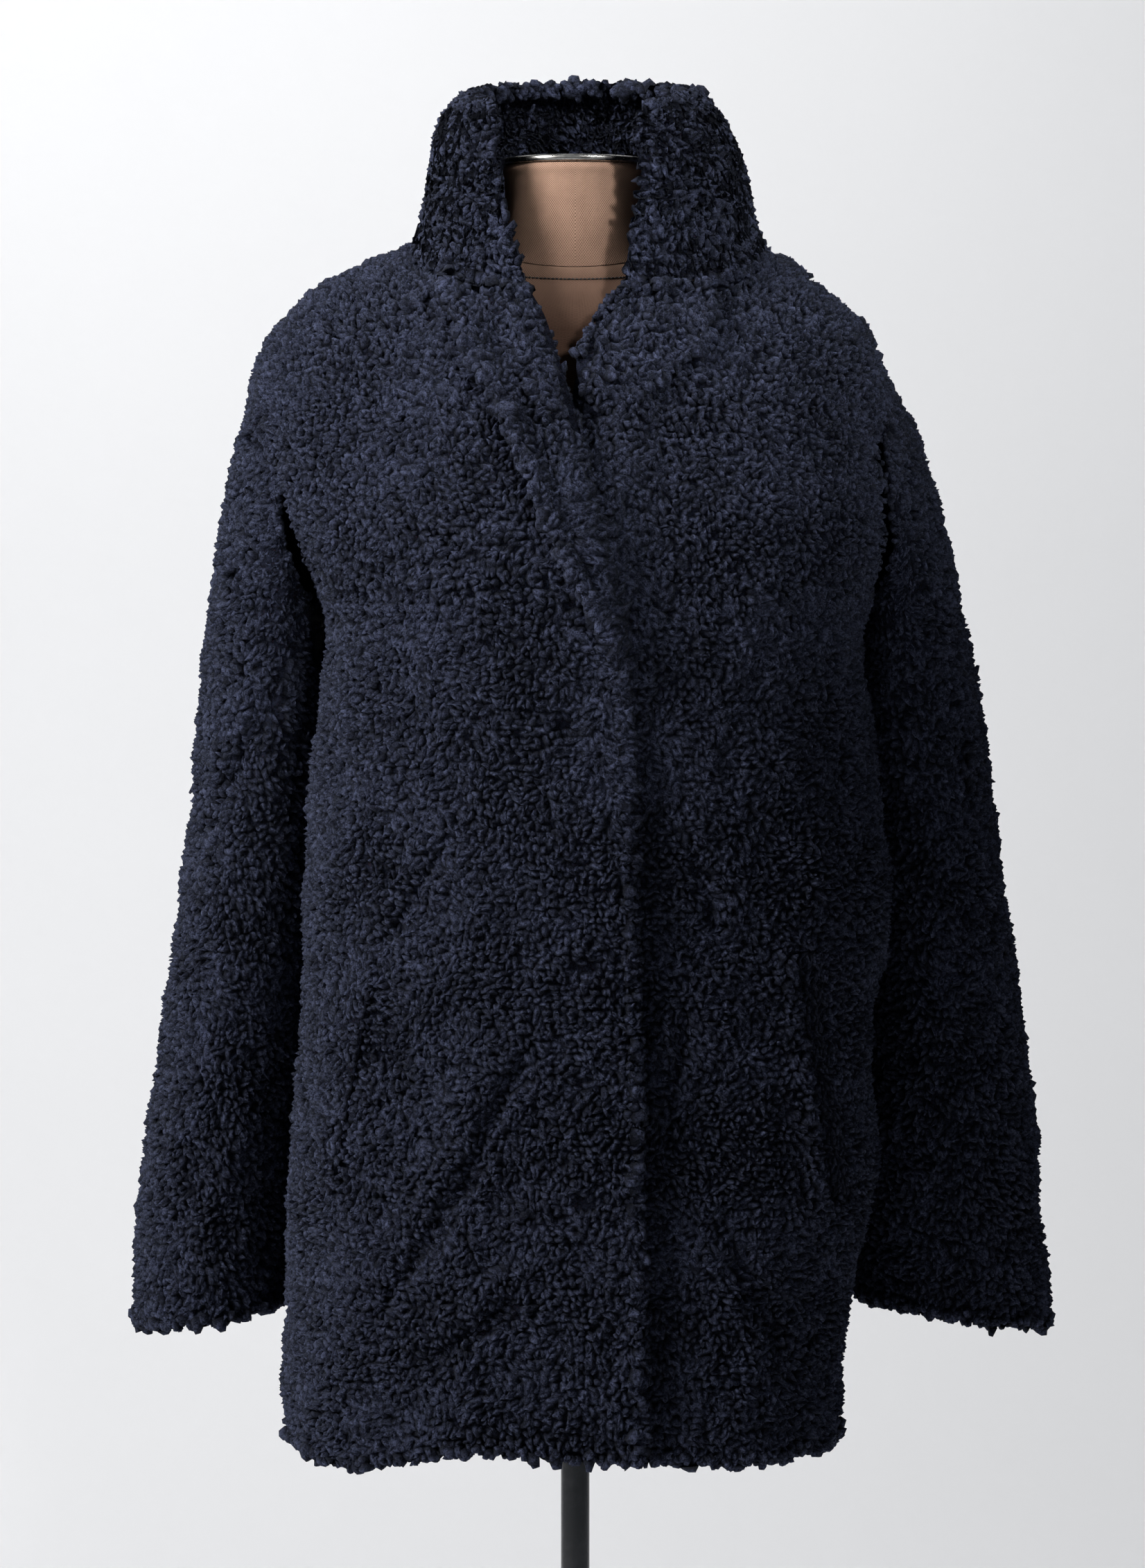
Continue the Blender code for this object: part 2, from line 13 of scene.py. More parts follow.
import bmesh
import bpy
import numpy as np
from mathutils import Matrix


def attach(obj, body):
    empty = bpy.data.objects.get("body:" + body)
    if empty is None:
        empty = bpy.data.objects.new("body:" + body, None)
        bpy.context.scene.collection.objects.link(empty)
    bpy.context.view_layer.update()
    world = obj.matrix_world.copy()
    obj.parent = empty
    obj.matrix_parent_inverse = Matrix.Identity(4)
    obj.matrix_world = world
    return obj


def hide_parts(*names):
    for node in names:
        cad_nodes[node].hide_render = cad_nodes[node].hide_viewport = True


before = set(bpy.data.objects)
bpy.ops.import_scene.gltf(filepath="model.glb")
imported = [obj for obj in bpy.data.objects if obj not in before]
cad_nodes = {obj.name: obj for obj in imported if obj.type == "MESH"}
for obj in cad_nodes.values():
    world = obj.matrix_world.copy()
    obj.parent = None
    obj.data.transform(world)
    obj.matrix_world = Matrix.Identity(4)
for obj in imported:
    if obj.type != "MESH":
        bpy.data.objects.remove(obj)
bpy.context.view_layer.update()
scene = bpy.context.scene
print("solids in the frame:", ", ".join(sorted(cad_nodes)))

# %% [markdown]
# ## Camera
#
# The picture was taken from about three metres, level with the chest and tipped down slightly. A
# long lens keeps the sleeves and hem from spreading. The lens is worked out from the picture's
# height, so the frame stays the same at any render size.

# %% Camera
PICTURE_HIGH = 2263
FOCAL_LENGTH_PX = 6304
SENSOR_HIGH_MM = 24
CAMERA_PLACE = (-0.0018, -2.9, 1.285)
CAMERA_TIP = 3.92  # degrees below level

camera_data = bpy.data.cameras.new("camera")
camera_data.sensor_fit = "VERTICAL"
camera_data.sensor_height = SENSOR_HIGH_MM
camera_data.lens = SENSOR_HIGH_MM * FOCAL_LENGTH_PX / PICTURE_HIGH
camera = bpy.data.objects.new("camera", camera_data)
camera.location = CAMERA_PLACE
camera.rotation_euler = (math.radians(90 - CAMERA_TIP), 0, 0)
scene.collection.objects.link(camera)
scene.camera = camera
scene.view_settings.view_transform = "Standard"
print("lens in mm:", round(camera_data.lens, 2))

# %% [markdown]
# ## Light
#
# A big soft lamp stands to the left and in front, so the left half of the coat is about three times
# as bright as the right half. A weaker lamp fills the right side, narrow soft spots reach into the
# collar and the armholes, one more lights the backdrop, and a dim even world keeps the crevices from
# going fully black.

# %% Lamps and world
Lamp = namedtuple("Lamp", "name place aim wide high watts colour")
LAMPS = (
    Lamp("key lamp", (-2.45, -1.60, 2.95), (0, 0, 1.15), 1.4, 1.4, 148, (1.0, 0.99, 0.98)),
    Lamp("fill lamp", (2.2, -2.6, 1.5), (0, 0, 1.1), 1.6, 2.0, 2, (0.96, 0.98, 1.0)),
    Lamp("backdrop lamp", (-0.6, 0.9, 2.7), (-0.4, 2.6, 1.2), 2.8, 0.9, 26, (1.0, 1.0, 1.0)),
)
SoftSpot = namedtuple("SoftSpot", "name place aim watts soft degrees")
SOFT_SPOTS = (
    SoftSpot("collar lamp", (1.25, -2.0, 2.75), (0.06, -0.03, 1.495), 780, 0.27, 8),
    SoftSpot("right sleeve lamp", (0.9, -2.9, 1.35), (-0.185, -0.02, 1.19), 180, 0.20, 6),
    SoftSpot("left sleeve lamp", (0.25, -3.0, 1.40), (0.190, -0.02, 1.25), 45, 0.20, 5),
)
WORLD_COLOUR = (0.86, 0.92, 1.0)
WORLD_STRENGTH = 0.078


def add_light(kind, lamp):
    """Puts a lamp at its place, turned to its aim, and gives back its light."""
    light = bpy.data.lights.new(lamp.name, kind)
    light.energy = lamp.watts
    lamp_object = bpy.data.objects.new(lamp.name, light)
    way = np.array(lamp.aim, float) - np.array(lamp.place, float)
    flat = math.hypot(way[0], way[1])
    lamp_object.location = lamp.place
    lamp_object.rotation_euler = (math.atan2(flat, -way[2]), 0, math.atan2(-way[0], way[1]))
    scene.collection.objects.link(lamp_object)
    return light


for lamp in LAMPS:
    light = add_light("AREA", lamp)
    light.shape = "RECTANGLE"
    light.size, light.size_y, light.color = lamp.wide, lamp.high, lamp.colour
for spot in SOFT_SPOTS:
    light = add_light("SPOT", spot)
    light.shadow_soft_size = spot.soft
    light.spot_size, light.spot_blend = math.radians(spot.degrees), 1.0

world = bpy.data.worlds.new("studio air")
world.use_nodes = True
air = world.node_tree.nodes["Background"]
air.inputs["Color"].default_value = (*WORLD_COLOUR, 1)
air.inputs["Strength"].default_value = WORLD_STRENGTH
scene.world = world
print("lamps:", len(LAMPS) + len(SOFT_SPOTS))

# %% [markdown]
# ## Making meshes
#
# Every piece here is a grid of points or a crowd of small curls, so the points are worked out with
# arrays and written to the mesh in one go. That is far quicker than adding faces one at a time.
# Three helpers cover all pieces: any faces, the quads over a grid, and a closed wall of cloth.

# %% Mesh helpers
def piece_of(name, points, faces, material):
    """An object from an array of points and an array of faces with equal corners."""
    faces = np.asarray(faces)
    corners = faces.shape[1]
    mesh = bpy.data.meshes.new(name)
    mesh.vertices.add(len(points))
    mesh.vertices.foreach_set("co", np.asarray(points, np.float32).ravel())
    mesh.loops.add(faces.size)
    mesh.loops.foreach_set("vertex_index", faces.astype(np.int32).ravel())
    mesh.polygons.add(len(faces))
    mesh.polygons.foreach_set("loop_start", np.arange(0, faces.size, corners, dtype=np.int32))
    mesh.polygons.foreach_set("use_smooth", np.full(len(faces), True))
    mesh.update(calc_edges=True)
    mesh.materials.append(material)
    made = bpy.data.objects.new(name, mesh)
    scene.collection.objects.link(made)
    return made


def grid_faces(rows, columns, start=0, closed=False):
    """Quads over a grid of points, read by row and column, facing the side of row times column."""
    row, column = np.meshgrid(np.arange(rows - 1), np.arange(columns - (not closed)), indexing="ij")
    after = (column + 1) % columns
    low, high = start + row * columns, start + (row + 1) * columns
    quads = np.stack((low + column, low + after, high + after, high + column), -1)
    return quads.reshape(-1, 4)


def wall(name, outer, inner, material, closed=False):
    """A closed wall between two grids of points; closed joins the last column to the first."""
    rows, columns = outer.shape[:2]
    count = rows * columns
    index = np.arange(count).reshape(rows, columns)
    faces = [grid_faces(rows, columns, 0, closed), grid_faces(rows, columns, count, closed)[:, ::-1]]
    rims = [index[0][::-1], index[-1]]
    if closed:
        rims = [np.append(rim, rim[0]) for rim in rims]
    else:
        rims += [index[:, 0], index[::-1, -1]]
    for rim in rims:
        faces.append(np.stack((rim[:-1], rim[1:], rim[1:] + count, rim[:-1] + count), -1))
    points = np.concatenate((outer.reshape(-1, 3), inner.reshape(-1, 3)))
    return piece_of(name, points, np.concatenate(faces), material)


print("mesh helpers ready")

# %% [markdown]
# ## Curves through a table
#
# A pattern cutter notes a few sizes and draws a smooth line through them. The body, sleeves and
# collar are noted the same way, as short tables of sections, and a smooth curve runs through each
# column. The tables match the solids in the frame, so the shells lie where the solids are.

# %% Reading a table
TINY = 1e-9


def track(rows, column, along="z"):
    """A smooth curve through one column of a table, read along another."""
    knots = np.array([getattr(row, along) for row in rows], float)
    values = np.array([getattr(row, column) for row in rows], float)
    slopes = np.gradient(values, knots)

    def at(place):
        place = np.clip(np.asarray(place, float), knots[0], knots[-1])
        i = np.clip(np.searchsorted(knots, place) - 1, 0, len(knots) - 2)
        width = knots[i + 1] - knots[i]
        t = (place - knots[i]) / width
        rise = t * t * (3 - 2 * t)
        bend = slopes[i] * t * (1 - t) ** 2 - slopes[i + 1] * t * t * (1 - t)
        return values[i] * (1 - rise) + values[i + 1] * rise + width * bend

    return at


def tracks(rows, along="z"):
    return {name: track(rows, name, along) for name in rows[0]._fields if name != along}


def ease(t):
    t = np.clip(t, 0, 1)
    return t * t * (3 - 2 * t)


def signed_power(value, exponent):
    return np.sign(value) * np.abs(value) ** exponent


def unit(vectors):
    return vectors / np.maximum(np.linalg.norm(vectors, axis=-1, keepdims=True), TINY)


def bell(value, reach, middle=0.0):
    """1 at the middle, falling off smoothly on both sides."""
    return np.exp(-(((value - middle) / reach) ** 2))


def lengths_along(line):
    """How far along a line of points each one lies."""
    return np.concatenate(([0], np.cumsum(np.linalg.norm(np.diff(line, axis=0), axis=-1))))


def outward(surface, u, v, step=1e-4):
    """The unit normal of a surface whose two readings turn to the outside."""
    along_u = surface(u + step, v) - surface(u - step, v)
    along_v = surface(u, v + step) - surface(u, v - step)
    return unit(np.cross(along_u, along_v))


def raised(surface, u, v, out):
    return surface(u, v) + np.asarray(out)[..., None] * outward(surface, u, v)


print("halfway from 0 to 1 eases to", ease(0.5))

# %% [markdown]
# ## The body of the coat
#
# The body hangs straight from dropped shoulders, with soft folds that grow towards the hem. Each row
# of the table is one rounded section, and each fold is a ridge or hollow that swells on the way down.

# %% Body sections and folds
CLOTH = 0.008
FRONT_LIFT = 0.0134
HEM_Z, NECKLINE_Z = 0.657, 1.440
SEAM_Y, SEAM_GAP = 0.006, 0.0006
UNDERARM_Z, DROP_Z, ARMHOLE_HALF = 1.204, 1.348, 0.064
BodyRow = namedtuple("BodyRow", "z half x_mid y_mid front back square tilt")
BODY = (
    BodyRow(0.640, 0.1830, -0.0080, -0.030, 0.108, 0.176, 2.35, 0.0),
    BodyRow(0.668, 0.1845, -0.0075, -0.030, 0.110, 0.176, 2.35, 0.0),
    BodyRow(0.767, 0.1870, -0.0020, -0.032, 0.110, 0.177, 2.35, 0.0),
    BodyRow(0.826, 0.1935, 0.0045, -0.034, 0.109, 0.177, 2.30, 0.0),
    BodyRow(0.930, 0.1870, 0.0080, -0.036, 0.108, 0.175, 2.30, 0.0),
    BodyRow(1.012, 0.1905, 0.0135, -0.038, 0.108, 0.173, 2.30, 0.0),
    BodyRow(1.112, 0.1855, 0.0125, -0.038, 0.112, 0.171, 2.30, 0.0),
    BodyRow(1.204, 0.1800, 0.0120, -0.034, 0.118, 0.166, 2.25, 0.0),
    BodyRow(1.261, 0.2010, 0.0080, -0.024, 0.122, 0.151, 2.20, 0.0),
    BodyRow(1.310, 0.2090, 0.0020, -0.013, 0.117, 0.133, 2.10, 0.0),
    BodyRow(1.348, 0.2130, -0.0030, -0.004, 0.109, 0.117, 2.05, 0.0),
    BodyRow(1.372, 0.2050, -0.0030, 0.002, 0.102, 0.107, 2.00, 0.002),
    BodyRow(1.395, 0.1900, -0.0030, 0.006, 0.094, 0.099, 2.00, 0.008),
    BodyRow(1.412, 0.1720, -0.0040, 0.009, 0.088, 0.094, 2.00, 0.016),
    BodyRow(1.425, 0.1510, 0.0000, 0.010, 0.085, 0.090, 2.00, 0.023),
    BodyRow(1.438, 0.1195, 0.0080, 0.011, 0.083, 0.086, 2.00, 0.030),
    BodyRow(1.442, 0.1080, 0.0080, 0.011, 0.082, 0.084, 2.00, 0.031),
)
Fold = namedtuple("Fold", "angle spread start_z full_z out hem_rise")
FOLDS = (
    Fold(-47, 17, 1.10, 0.70, 0.007, -0.004),
    Fold(-13, 15, 1.06, 0.70, -0.004, 0.013),
    Fold(12, 12, 1.06, 0.70, 0.000, 0.005),
    Fold(36, 15, 1.02, 0.70, 0.006, -0.001),
    Fold(128, 18, 1.06, 0.70, 0.007, -0.004),
    Fold(158, 14, 1.10, 0.72, -0.007, 0.005),
    Fold(190, 16, 1.12, 0.70, 0.008, -0.004),
    Fold(226, 17, 1.04, 0.70, -0.006, 0.004),
)
HEM_RISE_REACH = 0.14
BODY_AT = tracks(BODY)


def body_point(theta, z):
    """The outer face at an angle from the front and a row height."""
    power = 2 / BODY_AT["square"](z)
    turn_x, turn_y = np.sin(theta), -np.cos(theta)
    depth = np.where(turn_y < 0, BODY_AT["front"](z), BODY_AT["back"](z))
    x = BODY_AT["x_mid"](z) + BODY_AT["half"](z) * signed_power(turn_x, power)
    y = BODY_AT["y_mid"](z) + depth * signed_power(turn_y, power)
    height = z + BODY_AT["tilt"](z) * turn_y
    for fold in FOLDS:
        away = np.degrees(np.angle(np.exp(1j * (theta - math.radians(fold.angle)))))
        shape = bell(away, fold.spread)
        grown = fold.out * shape * ease((fold.start_z - z) / (fold.start_z - fold.full_z))
        x, y = x + grown * turn_x, y + grown * turn_y
        height = height + fold.hem_rise * shape * ease(1 - (z - HEM_Z) / HEM_RISE_REACH)
    return np.stack(np.broadcast_arrays(x, y, height), -1)


print("hem at the front middle:", np.round(body_point(np.array(0.0), np.array(HEM_Z)), 3))

# %% [markdown]
# ## Where the panels end
#
# The wearer's right front laps over the left one, so it is lifted by the thickness of the cloth and
# of the press studs between them. The lift fades out at the neck, where the fronts part.

# %% Panel edges
EdgeRow = namedtuple("EdgeRow", "z over under")
FRONT_EDGES = (
    EdgeRow(0.640, 0.046, -0.046),
    EdgeRow(0.860, 0.043, -0.046),
    EdgeRow(1.000, 0.040, -0.046),
    EdgeRow(1.110, 0.035, -0.046),
    EdgeRow(1.186, 0.030, -0.040),
    EdgeRow(1.260, 0.014, -0.024),
    EdgeRow(1.325, 0.001, -0.004),
    EdgeRow(1.355, -0.008, 0.000),
    EdgeRow(1.390, -0.018, 0.014),
    EdgeRow(1.420, -0.026, 0.023),
    EdgeRow(1.442, -0.032, 0.030),
)
EDGE_AT = tracks(FRONT_EDGES)
LIFT_FROM_X, LIFT_FULL_X = -0.125, -0.062
LIFT_FADE_Z, LIFT_END_Z = 1.335, 1.425
PLACE_TURNS = 8


def angle_at_x(x, z):
    share = (x - BODY_AT["x_mid"](z)) / BODY_AT["half"](z)
    return np.arcsin(np.clip(signed_power(share, BODY_AT["square"](z) / 2), -1, 1))


def place_on_front(x, height):
    """The angle and row height of the body's point seen at this x and height from the front."""
    z = np.array(height)
    for _ in range(PLACE_TURNS):
        theta = angle_at_x(x, z)
        z = z + height - body_point(theta, z)[..., 2]
    return angle_at_x(x, z), z


def angle_at_y(y, z):
    """The angle on the wearer's left whose point lies at this depth."""
    ahead = BODY_AT["y_mid"](z) - y
    depth = np.where(ahead > 0, BODY_AT["front"](z), BODY_AT["back"](z))
    return np.arccos(np.clip(signed_power(ahead / depth, BODY_AT["square"](z) / 2), -1, 1))


def front_end(z, way=-1):
    """Where the front panel ends at the side seam or armhole; way 1 gives the back's start."""
    t = np.clip((z - UNDERARM_Z) / (DROP_Z - UNDERARM_Z), 0, 1)
    half_open = np.maximum(ARMHOLE_HALF * np.sqrt(4 * t * (1 - t)), SEAM_GAP / 2)
    return angle_at_y(SEAM_Y + way * half_open, z)


def lift_at(x, z):
    fade = ease((LIFT_END_Z - z) / (LIFT_END_Z - LIFT_FADE_Z))
    return FRONT_LIFT * fade * ease((x - LIFT_FROM_X) / (LIFT_FULL_X - LIFT_FROM_X))


print("overlap at the waist, mm:", round(1000 * float(EDGE_AT["over"](1.0) - EDGE_AT["under"](1.0))))

# %% [markdown]
# ## Faces to sew on
#
# From here on a panel is a face: a function that takes how far across and how far up, both from 0
# to 1, and how far out from the cloth's outer side, and gives points. Shells, curls and edges are
# then made the same way on every panel.

# %% Faces of the body
def face_up(face, share, way):
    """The unit vector straight out of a face."""
    return unit(face(share, way, 1.0) - face(share, way, 0.0))


def body_face(start, end, lifted=False):
    def face(share, way, out=0.0):
        z = HEM_Z + (NECKLINE_Z - HEM_Z) * np.asarray(way, float)
        theta = start(z) * (1 - share) + end(z) * share
        lift = lift_at(body_point(theta, z)[..., 0], z) if lifted else np.zeros_like(theta)
        return raised(body_point, theta, z, lift + out)

    return face


def right_side(z):
    return -front_end(z)


def over_edge(z):
    return angle_at_x(EDGE_AT["over"](z), z)


def under_edge(z):
    return angle_at_x(EDGE_AT["under"](z), z)


def back_start(z):
    return front_end(z, 1)


def back_end(z):
    return 2 * math.pi - front_end(z, 1)


FACES = {
    "front_right": body_face(right_side, over_edge, lifted=True),
    "front_left": body_face(under_edge, front_end),
    "back": body_face(back_start, back_end),
}
for name, face in FACES.items():
    print(name, "middle:", np.round(face(np.array(0.5), np.array(0.5)), 3))

# %% [markdown]
# ## Sleeves
#
# The sleeves are set into dropped armholes and hang a little away from the body. Below the armpit
# each section is an oval whose girth hardly changes; above it the head bends over to the armhole.

# %% Sleeve tables and faces
SleeveRow = namedtuple("SleeveRow", "z outer half y_mid girth")
SLEEVE_LEFT = (
    SleeveRow(0.700, 0.3215, 0.0640, 0.046, 0.366),
    SleeveRow(0.728, 0.3220, 0.0635, 0.046, 0.367),
    SleeveRow(0.800, 0.3185, 0.0610, 0.046, 0.370),
    SleeveRow(0.900, 0.3075, 0.0550, 0.047, 0.374),
    SleeveRow(1.000, 0.2940, 0.0490, 0.048, 0.378),
    SleeveRow(1.100, 0.2800, 0.0455, 0.048, 0.384),
    SleeveRow(1.140, 0.2745, 0.0450, 0.046, 0.388),
)
SLEEVE_RIGHT = (
    SleeveRow(0.700, 0.3030, 0.0520, 0.046, 0.366),
    SleeveRow(0.728, 0.3025, 0.0520, 0.046, 0.367),
    SleeveRow(0.800, 0.2975, 0.0515, 0.046, 0.370),
    SleeveRow(0.900, 0.2835, 0.0495, 0.047, 0.374),
    SleeveRow(1.000, 0.2700, 0.0475, 0.048, 0.378),
    SleeveRow(1.100, 0.2560, 0.0455, 0.048, 0.384),
    SleeveRow(1.140, 0.2520, 0.0450, 0.046, 0.388),
)
CUFF_Z, FULL_RING_Z = 0.726, 1.100
RING_TILT, SLEEVE_LEDGE = 0.14, 0.0060
CAP_BEND = np.array((0.54, 0.45, 0.33))
CAP_SHARE = 0.42  # how much of the way up belongs to the sleeve head
END_MARGIN = 2e-4  # keeps readings off the very ends of a table


def sleeve_face(rows, side):
    at = tracks(rows)

    def ring(psi, z):
        half = at["half"](z)
        half_depth = np.sqrt(2 * (at["girth"](z) / (2 * math.pi)) ** 2 - half**2)
        middle = side * (at["outer"](z) - half)
        x, y = middle + half * np.sin(psi), at["y_mid"](z) - half_depth * np.cos(psi)
        height = z - RING_TILT * half * side * np.sin(psi)
        return np.stack(np.broadcast_arrays(x, y, height), -1)

    def armhole(psi):
        t = 0.5 + 0.5 * side * np.sin(psi)
        z = UNDERARM_Z + t * (DROP_Z - UNDERARM_Z)
        y = SEAM_Y - ARMHOLE_HALF * np.cos(psi)
        return body_point(side * angle_at_y(y, z), z) + np.array((side * SLEEVE_LEDGE, 0, 0))

    def surface(psi, way):
        psi, way = np.broadcast_arrays(np.asarray(psi, float), np.asarray(way, float))
        straight = 1 - CAP_SHARE
        low = ring(psi, CUFF_Z + (FULL_RING_Z - CUFF_Z) * np.minimum(way / straight, 1))
        first, last = armhole(psi), ring(psi, np.full_like(psi, FULL_RING_Z))
        middle = first + (last - first) * CAP_BEND
        t = np.clip((way - straight) / CAP_SHARE, 0, 1)[..., None]
        high = t**2 * first + 2 * t * (1 - t) * middle + (1 - t) ** 2 * last
        return np.where((way > straight)[..., None], high, low)

    def face(share, way, out=0.0):
        psi = 2 * math.pi * np.asarray(share, float) - side * math.pi / 2
        way = np.clip(way, END_MARGIN, 1 - END_MARGIN)
        return raised(surface, psi, way, out + 0 * psi)

    return face


FACES["sleeve_left"] = sleeve_face(SLEEVE_LEFT, 1)
FACES["sleeve_right"] = sleeve_face(SLEEVE_RIGHT, -1)
print("left cuff, outer side:", np.round(FACES["sleeve_left"](np.array(0.5), np.array(0.0)), 3))

# %% [markdown]
# ## Collar and lapels
#
# The collar stands up round the neck and leans in at the top. Its two layers of pile are sewn back to
# back, so it has curls inside and out. Below it the front edges turn out as soft lapels, which lie on
# the fronts with a slight puff.

# %% Collar and lapel faces
COLLAR_CLOTH = 0.012
CollarRow = namedtuple("CollarRow", "rise z half x_mid y_mid front back tilt end_right end_left")
COLLAR = (
    CollarRow(0.00, 1.4425, 0.1165, 0.0085, 0.010, 0.090, 0.091, 0.0300, 21.0, 12.0),
    CollarRow(0.15, 1.4560, 0.1110, 0.0085, 0.010, 0.088, 0.089, 0.0255, 25.0, 13.5),
    CollarRow(0.35, 1.4770, 0.1070, 0.0080, 0.010, 0.085, 0.086, 0.0200, 31.0, 17.5),
    CollarRow(0.58, 1.5005, 0.1025, 0.0065, 0.010, 0.082, 0.083, 0.0155, 35.0, 22.0),
    CollarRow(0.80, 1.5240, 0.0945, 0.0035, 0.010, 0.078, 0.080, 0.0125, 37.0, 23.0),
    CollarRow(0.93, 1.5380, 0.0845, 0.0025, 0.010, 0.073, 0.076, 0.0120, 41.0, 29.0),
    CollarRow(1.00, 1.5450, 0.0760, 0.0020, 0.010, 0.068, 0.071, 0.0120, 50.0, 40.0),
)
LapelRow = namedtuple("LapelRow", "way left_x left_z right_x right_z")
LAPEL_LEFT = (
    LapelRow(0, 0.0080, 1.3380, 0.0180, 1.3310),
    LapelRow(1, 0.0020, 1.3500, 0.0420, 1.3430),
    LapelRow(2, 0.0010, 1.3640, 0.0660, 1.3600),
    LapelRow(3, 0.0080, 1.3780, 0.0800, 1.3750),
    LapelRow(4, 0.0160, 1.3920, 0.0865, 1.3900),
    LapelRow(5, 0.0220, 1.4020, 0.0880, 1.4010),
    LapelRow(6, 0.0270, 1.4075, 0.0850, 1.4090),
)
LAPEL_RIGHT = (
    LapelRow(0, 0.0235, 1.1860, 0.0295, 1.1860),
    LapelRow(1, 0.0040, 1.2200, 0.0220, 1.2230),
    LapelRow(2, -0.0220, 1.2720, 0.0110, 1.2760),
    LapelRow(3, -0.0430, 1.3220, -0.0010, 1.3260),
    LapelRow(4, -0.0620, 1.3580, -0.0115, 1.3640),
    LapelRow(5, -0.0790, 1.3880, -0.0200, 1.3930),
    LapelRow(6, -0.0850, 1.4080, -0.0275, 1.4070),
)
LAPEL_GAP, LAPEL_PUFF, LAPEL_SINK = 0.0016, 0.004, 0.0045
LAPEL_RIM, RIM_SHARE, RIM_REACH = 0.0060, 0.07, 0.10
LAPEL_TROUGH, TROUGH_SHARE, TROUGH_REACH = 0.0060, 0.38, 0.14
LEFT_SINK_WAY, LEFT_SINK_REACH = 0.62, 0.4
COLLAR_AT = tracks(COLLAR, "rise")


def collar_point(theta, rise):
    turn_x, turn_y = np.sin(theta), -np.cos(theta)
    depth = np.where(turn_y < 0, COLLAR_AT["front"](rise), COLLAR_AT["back"](rise))
    x = COLLAR_AT["x_mid"](rise) + COLLAR_AT["half"](rise) * turn_x
    y = COLLAR_AT["y_mid"](rise) + depth * turn_y
    height = COLLAR_AT["z"](rise) + COLLAR_AT["tilt"](rise) * turn_y
    return np.stack(np.broadcast_arrays(x, y, height), -1)


def collar_face(share, way, out=0.0):
    rise = np.clip(way, END_MARGIN, 1 - END_MARGIN)
    left = np.radians(COLLAR_AT["end_left"](rise))
    right = np.radians(COLLAR_AT["end_right"](rise))
    theta = left * (1 - share) + (2 * math.pi - right) * share
    return raised(collar_point, theta, rise, out + 0 * theta)


def lapel_face(rows, lifted, sink):
    """A lapel's face; sink tells how far it drops towards the front below at a share and way."""
    at = tracks(rows, "way")

    def face(share, way, out=0.0):
        row = np.asarray(way, float) * (len(rows) - 1)
        x = at["left_x"](row) * (1 - share) + at["right_x"](row) * share
        height = at["left_z"](row) * (1 - share) + at["right_z"](row) * share
        theta, z = place_on_front(x, height)
        puff = LAPEL_PUFF * np.sin(math.pi * np.clip(share, 0, 1))
        under = LAPEL_GAP + (lift_at(x, z) if lifted else 0) - sink(share, way)
        return raised(body_point, theta, z, under + puff + CLOTH + out)

    return face


def sink_left(share, way):
    """The lower half of the left lapel's free edge lies close to the front."""
    return LAPEL_SINK * ease((LEFT_SINK_WAY - np.asarray(way)) / LEFT_SINK_REACH) * share


def sink_right(share, way):
    """The right lapel has a raised free edge, a trough beside it, and drops to the fold."""
    raised_edge = LAPEL_RIM * bell(share, RIM_REACH, RIM_SHARE)
    trough = LAPEL_TROUGH * bell(share, TROUGH_REACH, TROUGH_SHARE)
    return LAPEL_SINK * share**2 + trough - raised_edge + 0.0 * way


FACES["collar"] = collar_face
FACES["lapel_left"] = lapel_face(LAPEL_LEFT, False, sink_left)
FACES["lapel_right"] = lapel_face(LAPEL_RIGHT, True, sink_right)
print("collar top at the back:", np.round(collar_face(np.array(0.5), np.array(1.0)), 3))

# %% [markdown]
# ## Pocket welts
#
# Each pocket is a slanted slit whose edge is bound by a narrow strip of the same cloth. The strip
# lies flat on the front, so only a ridge and a dark line beside it show.

# %% Welt faces
WELT_TOP_Z, WELT_BOTTOM_Z = 0.985, 0.828
WELT_WIDTH_ANGLE = 7.0
WELT_GAP, WELT_THICKNESS = 0.0008, 0.0045
WELTS = {"pocket_welt_left": (1, 45.0, 57.0), "pocket_welt_right": (-1, 50.0, 56.0)}


def welt_face(side, top_angle, bottom_angle):
    def face(share, way, out=0.0):
        z = WELT_BOTTOM_Z + (WELT_TOP_Z - WELT_BOTTOM_Z) * np.asarray(way, float)
        middle = side * (bottom_angle + (top_angle - bottom_angle) * way)
        theta = np.radians(middle + WELT_WIDTH_ANGLE * (share - 0.5))
        return raised(body_point, theta, z + 0 * theta, WELT_GAP + WELT_THICKNESS + out + 0 * theta)

    return face


for name, (side, top_angle, bottom_angle) in WELTS.items():
    FACES[name] = welt_face(side, top_angle, bottom_angle)
print("faces:", len(FACES))

# %% [markdown]
# ## Shared finishes
#
# Two effects come back in several materials, so each is a node group. Fibres breaks a colour into
# fine lighter and darker hairs and gives the height for a bump. Weave crosses two sets of threads,
# as in canvas, from lengths measured over the cloth.

# %% Node groups
MIX_INPUTS, MIX_RESULT = (0, 6, 7), 2  # the sockets of a mix of colours
Hairs = namedtuple("Hairs", "scale detail rough share")
HAIR_LAYERS = (Hairs(950, 4.0, 0.8, 0.50), Hairs(340, 2.0, 0.6, 0.40), Hairs(60, 2.0, 0.5, 0.10))
HAIR_SPAN = (0.44, 0.58)
Tint = namedtuple("Tint", "scale low high share colour")
RED_HAIR = Tint(850, 0.66, 0.74, 0.5, (0.050, 0.020, 0.034, 1))
BLUE_HAIR = Tint(1000, 0.64, 0.74, 0.5, (0.026, 0.046, 0.085, 1))


